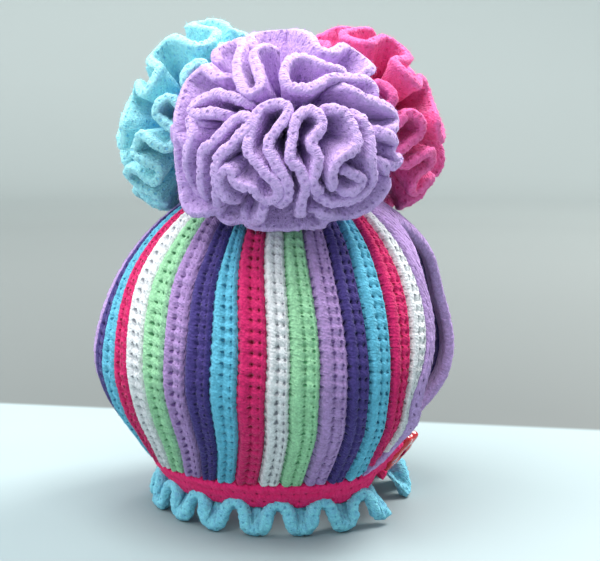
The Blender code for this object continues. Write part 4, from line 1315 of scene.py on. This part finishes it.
lilac_walls = [(line, False) for line in LILAC_FOLDS] + [meander(6, 132.0, 288.0, 76.0, 114.0, 11, False)]
print(len(lilac_walls), "walls in the lilac flower")

# %% Fold a wall
STATION, WALL_LEAST = 1.0, 9.0  # millimetres between two sections of a wall, and its least depth
CURVE_STEPS, FEWEST = 10, 8  # points from one place to the next, and the fewest sections of a wall
ROOT_SHARE, WALL_THICK = 0.33, 0.76  # of the flower's reach, and of the frill's thickness
END_LOW, END_LONG = 5.0, 9.0  # a wall's open end comes down by this much over this length
UNEVEN, UNEVEN_OVER = 0.5, (5.3, 13.0)  # how far a rim goes up and down, and over what lengths
ROOT_EVEN, ROOT_REACH = 0.45, 7  # how much straighter a wall's root is than its rim, over how many sections
TURN_FROM = 5.0  # depth at which a wall starts to turn towards its root


def wall_of(flower, line, closed, seed):
    """One folded wall of a flower, as points, faces and map corners."""
    places = np.array([(*place, 1.0)[:3] for place in line], float)
    towards = ruffle_direction(flower, places[:, 0], places[:, 1])
    curve = through([np.append(a, b) for a, b in zip(towards, places[:, 2])], CURVE_STEPS, closed)
    if closed:
        curve = np.append(curve, curve[:1], axis=0)
    path, share = unit(curve[:, :3]), curve[:, 3]
    length = lengths_of(path * (flower_reach(flower, path) * share)[:, None])
    count = max(round(length[-1] / STATION), FEWEST)
    at = np.linspace(0.0, length[-1], count + 1)[: count + (not closed)]
    path, share = unit(smoothed(unit(respaced(path, length, at)), 1, closed)), np.interp(at, length, share)
    ahead = path @ unit(flower["facing"] * (1.0, 1.0, 0.0))
    share = share * (1.0 + flower["crest"] * clamp(path[:, 2]) ** 2 * clamp(1.0 + 2.0 * ahead))
    wander = UNEVEN * np.sin(at / UNEVEN_OVER[0] + seed) * np.sin(at / UNEVEN_OVER[1])
    radius = flower_reach(flower, path) * share + wander
    if not closed:
        to_end = np.minimum(at, at[-1] - at)
        radius = radius - END_LOW * (1.0 - clamp(to_end / END_LONG)) ** 2
    rim = path * radius[:, None]
    tangent = np.roll(rim, -1, 0) - np.roll(rim, 1, 0) if closed else np.gradient(rim, axis=0)
    side = unit(smoothed(unit(np.cross(path, tangent)), 1, closed))
    root = unit((1.0 - ROOT_EVEN) * path + ROOT_EVEN * unit(smoothed(path, ROOT_REACH, closed)))
    deep = np.maximum(radius - flower_reach(flower, root) * ROOT_SHARE, WALL_LEAST)
    depth, half, across = wall_sections(deep, at, closed, seed, WALL_THICK)
    turn = ease(depth, TURN_FROM, RIM_DEEP + deep[:, None])[..., None]
    inward = unit(path[:, None] * (1.0 - turn) + root[:, None] * turn)
    grid = two_faces(inward * (radius[:, None] - depth)[..., None], side, half)
    along = np.linspace(0.0, max(round(length[-1] / WALL_PITCH), 2), count + 1)
    spots = together(np.concatenate([across, across[:1]])[: count + 1], along[:, None])
    grid = lifted(grid, wall_relief(spots[: len(path), :-1], seed), closed)
    away = np.linalg.norm(grid, axis=-1)
    most = flower_reach(flower, grid / away[..., None]) * np.maximum(share, 1.0)[:, None]
    grid = grid * np.minimum(1.0, most / away)[..., None]
    return tube_grid(grid + flower["middle"], spots, closed)


first_wall = wall_of(frames["flower_lilac"], *lilac_walls[0], 0)
print("the first wall has", len(first_wall[1]), "faces")

# %% Put the flowers together
HEART_SHARE, HEART_DEEP = 0.38, 0.6
HEART_ROWS, HEART_COLUMNS = 61, 120
HEART_WIDENS = (0.35, 0.75)  # towards the crown behind
HEART_STITCHES = (0.25, 26.0)  # to a column, and from face to back
LIT_FLOWER_YARNS = {  # painted light: the stripes' yarns painted paler, as the flowers stand fluffed up in the light
    "lilac": ((0.66, 0.44, 0.86), (0.26, 0.12, 0.46)),
    "pink": ((1.0, 0.15, 0.42), (0.80, 0.025, 0.19)),
    "turquoise": ((0.40, 0.88, 1.0), (0.11, 0.54, 0.90)),
}


def heart_of(flower, seed):
    """The round heart under the folds, which is sewn to the crown behind."""
    turns = np.arange(HEART_COLUMNS) * 360.0 / HEART_COLUMNS
    polar, turn = np.meshgrid(np.linspace(1.0, 179.0, HEART_ROWS), turns, indexing="ij")
    towards = ruffle_direction(flower, turn, polar)
    share = HEART_SHARE + (1.0 - HEART_SHARE) * ease(-(towards @ flower["facing"]), *HEART_WIDENS)
    grid = towards * (flower_reach(flower, towards) * share)[..., None]
    rounds = np.arange(HEART_COLUMNS + 1) * HEART_STITCHES[0]
    spots = together(rounds, np.linspace(0.0, HEART_STITCHES[1], HEART_ROWS)[:, None])
    grid = lifted(grid, HEART_DEEP * stitches_at(spots[:, :-1, 0], spots[:, :-1, 1], seed=seed))
    return tube_grid(grid + flower["middle"], spots)


def flower_piece(name, flower, walls, material, seed):
    """All of a flower's walls and its heart as one piece."""
    folds = [wall_of(flower, line, closed, seed + place) for place, (line, closed) in enumerate(walls)]
    return add_piece(name, *joined([heart_of(flower, seed), *folds]), [material])


flowers = {}
flower_looks = {"holes": {**WALL_HOLES, "Radius": 0.55}, "mark": 0.42, "sheen": 0.5, "dimmed": 0.85}
walls_of = {"lilac": lilac_walls, "pink": plain_walls(21), "turquoise": plain_walls(31)}
for seed, (name, flower) in enumerate(frames.items()):
    colour = name.split("_")[1]
    flower_yarn = yarn(f"{colour}_flower", *LIT_FLOWER_YARNS[colour], **flower_looks, flower=flower)
    flowers[name] = flower_piece(f"{name}_ruffle", flower, walls_of[colour], flower_yarn, seed)
    dress(flowers[name], name)

# %% [markdown]
# ## The button
# A bought button, cast in glossy red plastic in the shape of a six-petalled flower, with two
# holes. It is turned as rings of points like the solid, only closer, and a yarn of the tab's own
# pink ties it down through its holes.

# %% Shape the button
HOLE_OUT, HOLE_RADIUS, HOLE_SIDES = 1.9, 1.0, 32
BUTTON_RINGS = [  # share of the radius, share of the thickness
    (0.96, 0.0), (0.99, 0.06), (1.0, 0.2), (1.0, 0.45), (0.99, 0.62), (0.965, 0.76), (0.93, 0.86),
    (0.88, 0.93), (0.8, 0.98), (0.7, 1.0), (0.62, 0.985), (0.56, 0.93), (0.51, 0.83), (0.47, 0.76),
    (0.44, 0.73), (0.3, 0.72),
]
PETAL_STEPS, PETALS_FROM = 16, (0.45, 0.9)  # points round a petal, and where on the radius they start
DISH = (0.8, 0.16, 0.16)  # between two petals the face is lower: middle and spread on the radius, depth


def hole_cutter(out, deep=12.0):
    """A plain round bar standing on the button's face, this far out from its middle."""
    turn = np.linspace(0.0, 2 * np.pi, HOLE_SIDES + 1)[:-1]
    ring = np.stack([HOLE_RADIUS * np.cos(turn), HOLE_RADIUS * np.sin(turn) + out], axis=-1)
    points = [(*p, z) for z in (-deep, deep) for p in ring]
    steps = range(HOLE_SIDES)
    faces = [(i, (i + 1) % HOLE_SIDES, HOLE_SIDES + (i + 1) % HOLE_SIDES, HOLE_SIDES + i) for i in steps]
    faces += [tuple(steps)[::-1], tuple(range(HOLE_SIDES, 2 * HOLE_SIDES))]
    mesh = bpy.data.meshes.new("cutter")
    mesh.from_pydata([Vector(p) * MM for p in points], [], faces)
    return add_object("cutter", mesh)


def button_mesh():
    """The button flat on its back, before its holes are cut."""
    steps = PETAL_STEPS * PETALS
    turn = 2 * np.pi * np.arange(steps) / steps
    reach, height = np.array(BUTTON_RINGS).T[..., None]
    petal = np.cos(PETALS * turn)
    radius = reach * BUTTON_RADIUS + PETAL_DEPTH * petal * ease(reach, *PETALS_FROM)
    dish = (petal - 1.0) * bell(reach, *DISH)
    grid = around(radius, turn, height * BUTTON_THICK + dish * (height > 0.5))
    spots = together(np.arange(steps + 1) / 8.0, np.arange(len(BUTTON_RINGS))[:, None] / 4.0)
    return tube_grid(grid, spots)


button = button_mesh()
print("the button is", round(2 * BUTTON_REACH, 1), "mm across and has", len(button[1]), "faces")

# %% Cast it in plastic
PLASTIC_SCUFFS, PLASTIC_RIPPLES = (2600.0, 4.0, 0.7), 420.0  # to a metre
SCUFF_ROUGH = {"i1": 0.35, "i2": 0.75, "i3": 0.08, "i4": 0.26}  # from these patches to this roughness
PLASTIC_BUMP = (0.25, 0.0001)  # strength, metres
PLASTIC_LOOK = {
    "Coat Weight": 0.4,
    "Coat Roughness": 0.06,
    "Subsurface Weight": 0.08,
    "Subsurface Radius": (0.002, 0.0005, 0.0004),
}


def plastic(name, colour):
    """Glossy cast plastic with fine scratches and a little unevenness."""
    material, tree, shader, place = new_material(name)
    scuffs = noise(tree, place, *PLASTIC_SCUFFS)
    rough = put(tree, "ShaderNodeMapRange", i0=scuffs, **SCUFF_ROUGH)
    tree.links.new(rough.outputs[0], shader.inputs["Roughness"])
    look = {"Base Color": (*colour, 1.0), **PLASTIC_LOOK}
    set_surface(tree, shader, noise(tree, place, PLASTIC_RIPPLES), *PLASTIC_BUMP, look)
    return material


button_turned = Vector(FACING).to_track_quat("Z", "Y").to_matrix().to_4x4()
button_turned.translation = Vector(SEAT) * MM
button = add_piece("button_plastic", *button, [plastic("red_plastic", (0.60, 0.012, 0.022))])
print("the button's face is turned", button_turned.to_euler())

# %% Cut its holes
for side in (-1, 1):
    cutter = hole_cutter(side * HOLE_OUT)
    cut = button.modifiers.new("hole", "BOOLEAN")
    cut.object, cut.operation, cut.solver = cutter, "DIFFERENCE", "EXACT"
    bpy.context.view_layer.update()
    cut_mesh = bpy.data.meshes.new_from_object(button.evaluated_get(bpy.context.evaluated_depsgraph_get()))
    button.modifiers.clear()
    button.data = cut_mesh
    bpy.data.objects.remove(cutter, do_unlink=True)
button.data.transform(button_turned)
button.data.set_sharp_from_angle(angle=math.radians(35))
dress(button, "button")

# %% Tie the button down
STRAND_APART, STRAND_RADIUS, STRAND_POINTS, STRAND_SIDES = 0.84, 0.45, 40, 12
STRAND_FROM, STRAND_BOW = -2.4, 3.2  # below the middle's face, and up from there
PLIES, PLY_DEEP, PLY_TURNS = 3.0, 0.16, 2.2


def thread_strand(sideways):
    """A strand of yarn from hole to hole, bowed over the bridge and spun of three plies."""
    turn = np.linspace(0.0, np.pi, STRAND_POINTS)
    face = BUTTON_RINGS[-1][1] * BUTTON_THICK
    height = face + STRAND_FROM + STRAND_BOW * np.sin(turn) ** 0.5
    line = together(sideways, HOLE_OUT * np.cos(turn), height)
    across = np.tile([1.0, 0.0, 0.0], (STRAND_POINTS, 1))
    up = unit(np.cross(unit(np.gradient(line, axis=0)), across))
    angle = np.linspace(0.0, 2 * np.pi, STRAND_SIDES + 1)[:-1]
    spun = 1.0 + PLY_DEEP * np.cos(PLIES * (angle + line[:, 1:2] * PLY_TURNS))
    ring = across[:, None] * np.cos(angle)[:, None] + up[:, None] * np.sin(angle)[:, None]
    grid = line[:, None] + STRAND_RADIUS * spun[..., None] * ring
    spots = together(np.arange(STRAND_SIDES + 1), np.arange(STRAND_POINTS)[:, None]) / 4.0
    return tube_grid(grid, spots)


strands = joined([thread_strand(side * STRAND_APART / 2) for side in (-1, 1)])
button_thread = add_piece("button_thread", *strands, [yarn("pink_yarn", *YARNS["pink"])])
button_thread.data.transform(button_turned)
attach(button_thread, "root")
print("thread of", len(button_thread.data.polygons), "faces")

# %% [markdown]
# ## The fluff
# Acrylic yarn sheds a haze of short fibres, which softens every outline. Hair curves would be the
# usual way, but plain faces travel better to other programs. Each fibre is a bent blade as thin
# as a hair, rooted at a random spot of the cloth and lying the way its stitch throws it.

# %% Say where fibres grow
FACES_UP, LEAST_OUT = 0.6, 0.15  # how much facing up counts as facing out, and how much it takes
RIM_FIBRES, LEAST_OPEN = (0.74, 0.9), -0.3  # share of a flower's reach, and how far a face may look inward


def outside(points, normals):
    """1 where a face looks away from the body's axis, else 0."""
    away = unit(points * [1.0, 1.0, 0.0] + [0.0, 0.0, 1e-3])
    return ((normals * away).sum(axis=1) + FACES_UP * normals[:, 2] > LEAST_OUT).astype(float)


def near_rim(flower):
    """Picks a flower's rims and the upper part of its walls."""

    def pick(points, normals):
        offset = points - flower["middle"]
        away = np.linalg.norm(offset, axis=1)
        share = away / flower_reach(flower, offset / away[:, None])
        return ease(share, *RIM_FIBRES) * ((normals * offset).sum(axis=1) / away > LEAST_OPEN)

    return pick


FLUFFS = [  # piece, name, fibres, the longest in millimetres, where they grow, slot
    (front_panel, "fluff_front", 17000, 2.0, outside, "striped_yarns"),
    (back_panel, "fluff_back", 17000, 2.0, outside, "striped_yarns"),
    (spout_edging, "fluff_spout", 2600, 1.8, outside, "lilac_yarn"),
    (handle_edging, "fluff_handle", 2600, 1.8, outside, "lilac_yarn"),
    (base_band, "fluff_band", 2600, 1.8, outside, "pink_yarn"),
    (frill, "fluff_frill", 3600, 2.0, outside, "turquoise_yarn"),
]
for name, flower in frames.items():
    colour = name.split("_")[1]
    FLUFFS.append((flowers[name], f"fluff_{colour}", 17000, 2.6, near_rim(flower), f"{colour}_yarn"))
print(sum(row[2] for row in FLUFFS), "fibres to grow")

# %% Grow the fluff
FIBRE_WIDTH, FIBRE_ROOT = 0.055, 0.15  # millimetres wide, and rooted this deep
FIBRE_SPOT = 0.37  # one place on the map for all fibres, clear of the holes
FIBRE_SHORT, FIBRE_POWER = 0.3, 1.6  # the shortest beside the longest, and how rare the long ones are
FIBRE_STANDS, FIBRE_BENDS, FIBRE_SKEW = (0.25, 1.0), (0.4, 1.2), 0.4


def all_of(items, what, size, kind):
    """One property of all items of a mesh, as an array."""
    values = np.empty(len(items) * size, kind)
    items.foreach_get(what, values)
    return values


def fluff_on(piece, name, count, longest, keep, seed):
    """Fine fibres over the piece's surface, in the yarn that they grow from."""
    chosen = np.random.default_rng(seed)
    mesh = piece.data
    mesh.calc_loop_triangles()
    triangles = all_of(mesh.loop_triangles, "vertices", 3, np.int32).reshape(-1, 3)
    owner = all_of(mesh.loop_triangles, "polygon_index", 1, np.int32)
    colour = all_of(mesh.polygons, "material_index", 1, np.int32)
    corners = all_of(mesh.vertices, "co", 3, np.float32).reshape(-1, 3)[triangles] / MM
    across = np.cross(corners[:, 1] - corners[:, 0], corners[:, 2] - corners[:, 0])
    area = np.linalg.norm(across, axis=1)
    normal, middle = across / np.maximum(area, 1e-9)[:, None], corners.mean(axis=1)
    weight = area * keep(middle, normal)
    at = chosen.choice(len(area), count, p=weight / weight.sum())
    share = chosen.dirichlet((1.0, 1.0, 1.0), count)
    root = (corners[at] * share[..., None]).sum(axis=1)
    out = normal[at]
    lean = chosen.normal(size=(count, 3))
    lean = unit(lean - (lean * out).sum(axis=1, keepdims=True) * out)
    wide = unit(np.cross(out, lean))
    spread = (1.0 - FIBRE_SHORT) * chosen.random(count)[:, None] ** FIBRE_POWER
    length = longest * (FIBRE_SHORT + spread)
    stand = chosen.uniform(*FIBRE_STANDS, (count, 1))
    bend = lean * chosen.uniform(*FIBRE_BENDS, (count, 1))
    bend = bend + wide * chosen.normal(0.0, FIBRE_SKEW, (count, 1))
    half_way = root + unit(out * stand + bend * 0.5) * length * 0.5
    tip = half_way + unit(out * stand * 0.5 + bend) * length * 0.5
    thick = wide * FIBRE_WIDTH / 2
    root = root - out * FIBRE_ROOT
    grid = [root - thick, root + thick, half_way + thick * 0.9, half_way - thick * 0.9, tip]
    points = np.stack(grid, axis=1).reshape(-1, 3)
    points[:, 2] = np.maximum(points[:, 2], 0.0)  # none pokes through the table
    first = 5 * np.arange(count)[:, None]
    faces = (first + [0, 1, 2, 3]).tolist() + (first + [3, 2, 4]).tolist()
    spots = np.full((7 * count, 2), FIBRE_SPOT)
    return add_piece(name, points, faces, spots, list(mesh.materials), np.tile(colour[owner[at]], 2))


for seed, (piece, name, count, longest, keep, slot) in enumerate(FLUFFS):
    made = fluff_on(piece, name, count, longest, keep, seed)
    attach(made, "root")
    print(name, "has", count, "fibres up to", longest, "mm long")

# %% [markdown]
# ## The table and the light
# The cosy stands on a pale table that sweeps up into a soft grey room, like a sheet of paper in
# a studio. The light comes from behind and to the right, high up, so the flowers' tops are
# nearly white, and a broad soft light in front keeps the stripes readable.

# %% Finish the table
TABLE_EDGE_TURN, TABLE_EDGE_AWAY, TABLE_EDGE_SOFT = 93.5, 0.1333, 0.004  # degrees, metres, metres
TABLE_TONES = (0.262, 0.33, 0.342), (0.318, 0.385, 0.397)
ROOM_TONES = [  # metres away and up, tone: painted light, it grows paler further out to make up for the lamps' light falling off
    (0.20, 0.122), (0.34, 0.137), (0.55, 0.157), (0.89, 0.196), (1.16, 0.236),
    (1.54, 0.333), (1.74, 0.38), (1.95, 0.418), (2.12, 0.457), (2.33, 0.496),
]
ROOM_SHARE, ROOM_TINT = 0.4, (1.0, 1.11, 1.09)  # of the ramp's length to a metre; red, green and blue
TABLE_CLOUDS, TABLE_GRAIN = 5.0, 900.0  # to a metre
TABLE_BUMP = (0.04, 0.0002)  # strength, metres


def table_material():
    """Pale board, a little bluer and brighter near the middle, and the grey-green room beyond, painted paler
    further out to make up for the lamps' light falling off.
    """
    material, tree, shader, place = new_material("table")
    x, y, z = put(tree, "ShaderNodeSeparateXYZ", i0=place).outputs
    turn = math.radians(TABLE_EDGE_TURN)
    away = sums(tree, "MULTIPLY_ADD", x, math.cos(turn), sums(tree, "MULTIPLY", y, math.sin(turn)))
    beyond = smooth_step(tree, away, TABLE_EDGE_AWAY - TABLE_EDGE_SOFT, TABLE_EDGE_AWAY + TABLE_EDGE_SOFT)
    near = mix(tree, noise(tree, place, TABLE_CLOUDS), *TABLE_TONES)
    away_and_up = sums(tree, "MULTIPLY", sums(tree, "ADD", length_of(tree, x, y), z), ROOM_SHARE)
    room = put(tree, "ShaderNodeValToRGB", i0=away_and_up)
    ramp = room.color_ramp
    for tone in ROOM_TONES[1:-1]:
        ramp.elements.new(tone[0] * ROOM_SHARE)
    for stop, (metres, tone) in zip(ramp.elements, ROOM_TONES):
        stop.position, stop.color = metres * ROOM_SHARE, (*(tone * tint for tint in ROOM_TINT), 1.0)
    tree.links.new(mix(tree, beyond, near, room.outputs[0]), shader.inputs["Base Color"])
    values = {"Roughness": 0.62, "Specular IOR Level": 0.3}
    set_surface(tree, shader, noise(tree, place, TABLE_GRAIN), *TABLE_BUMP, values)
    return material


table_top = table_material()
print("the table's edge lies", TABLE_EDGE_AWAY, "metres behind the cosy's middle")

# %% Lay the table
TABLE_FLAT, TABLE_BEND, WALL_HEIGHT, TABLE_SIDES = 1.55, 0.45, 0.9, 96
TABLE_DOWN = 0.0001  # clear of the frill's own underside
FLAT_RINGS, WALL_RINGS = (0.02, 0.3, 0.8, 1.2), (0.3, 0.6, 1.0)  # metres, and shares of the wall's height


def table_piece():
    """A flat disc that turns up smoothly at its rim."""
    turn = np.linspace(0.0, np.pi / 2, 16)
    out = TABLE_FLAT + TABLE_BEND * np.sin(turn[1:])
    radius = np.concatenate([[*FLAT_RINGS, TABLE_FLAT], out, [TABLE_FLAT + TABLE_BEND] * len(WALL_RINGS)])
    up = TABLE_BEND + np.array(WALL_RINGS) * WALL_HEIGHT
    rise = np.concatenate([[0.0] * (len(FLAT_RINGS) + 1), TABLE_BEND * (1.0 - np.cos(turn[1:])), up])
    sides = np.radians(np.arange(TABLE_SIDES) * 360.0 / TABLE_SIDES)
    grid = around(radius[:, None], sides, rise[:, None])
    faces = quads_of(len(radius), TABLE_SIDES, loop_columns=True)[0].tolist()
    faces.append(list(range(TABLE_SIDES))[::-1])
    mesh = bpy.data.meshes.new("table")
    mesh.from_pydata(grid.reshape(-1, 3).tolist(), [], [face[::-1] for face in faces])
    mesh.materials.append(table_top)
    mesh.shade_smooth()
    return add_object("table", mesh)


table = table_piece()
table.location.z = -TABLE_DOWN
print("table laid,", len(table.data.polygons), "faces")

# %% Light it
LAMPS = {  # place in metres, size in metres, watts, colour
    "window": ((0.62, 0.85, 1.2), 0.7, 36.0, (1.0, 0.99, 0.97)),
    "overhead": ((-0.12, -0.22, 1.5), 1.0, 28.0, (1.0, 0.99, 0.98)),
    "left_soft": ((-0.95, 0.1, 0.9), 0.8, 7.0, (1.0, 1.0, 1.0)),
    "front_soft": ((-0.75, -1.05, 0.95), 1.0, 8.0, (0.93, 0.96, 1.0)),
}
LAMPS_AIM = Vector((0.0, 0.0, 0.09))  # the cosy's middle

for name, (place, size, watts, colour) in LAMPS.items():
    data = bpy.data.lights.new(name, "AREA")
    data.shape, data.size, data.energy, data.color = "SQUARE", size, watts, colour
    lamp = add_object(name, data)
    lamp.location = place
    lamp.rotation_euler = (LAMPS_AIM - Vector(place)).to_track_quat("-Z", "Y").to_euler()
world = bpy.data.worlds.new("room")
world.use_nodes = True
world.node_tree.nodes["Background"].inputs["Color"].default_value = (0.80, 0.86, 0.92, 1.0)
world.node_tree.nodes["Background"].inputs["Strength"].default_value = 0.62
bpy.context.scene.world = world
bpy.context.scene.view_settings.view_transform = "Standard"
print("lamps:", list(LAMPS))

# %% [markdown]
# ## The cloth
# Everything but the button is worked yarn: the two panels, the two edgings, the band, the frill
# and the three flowers.

print("declared", 6 + len(flowers), "sheets")
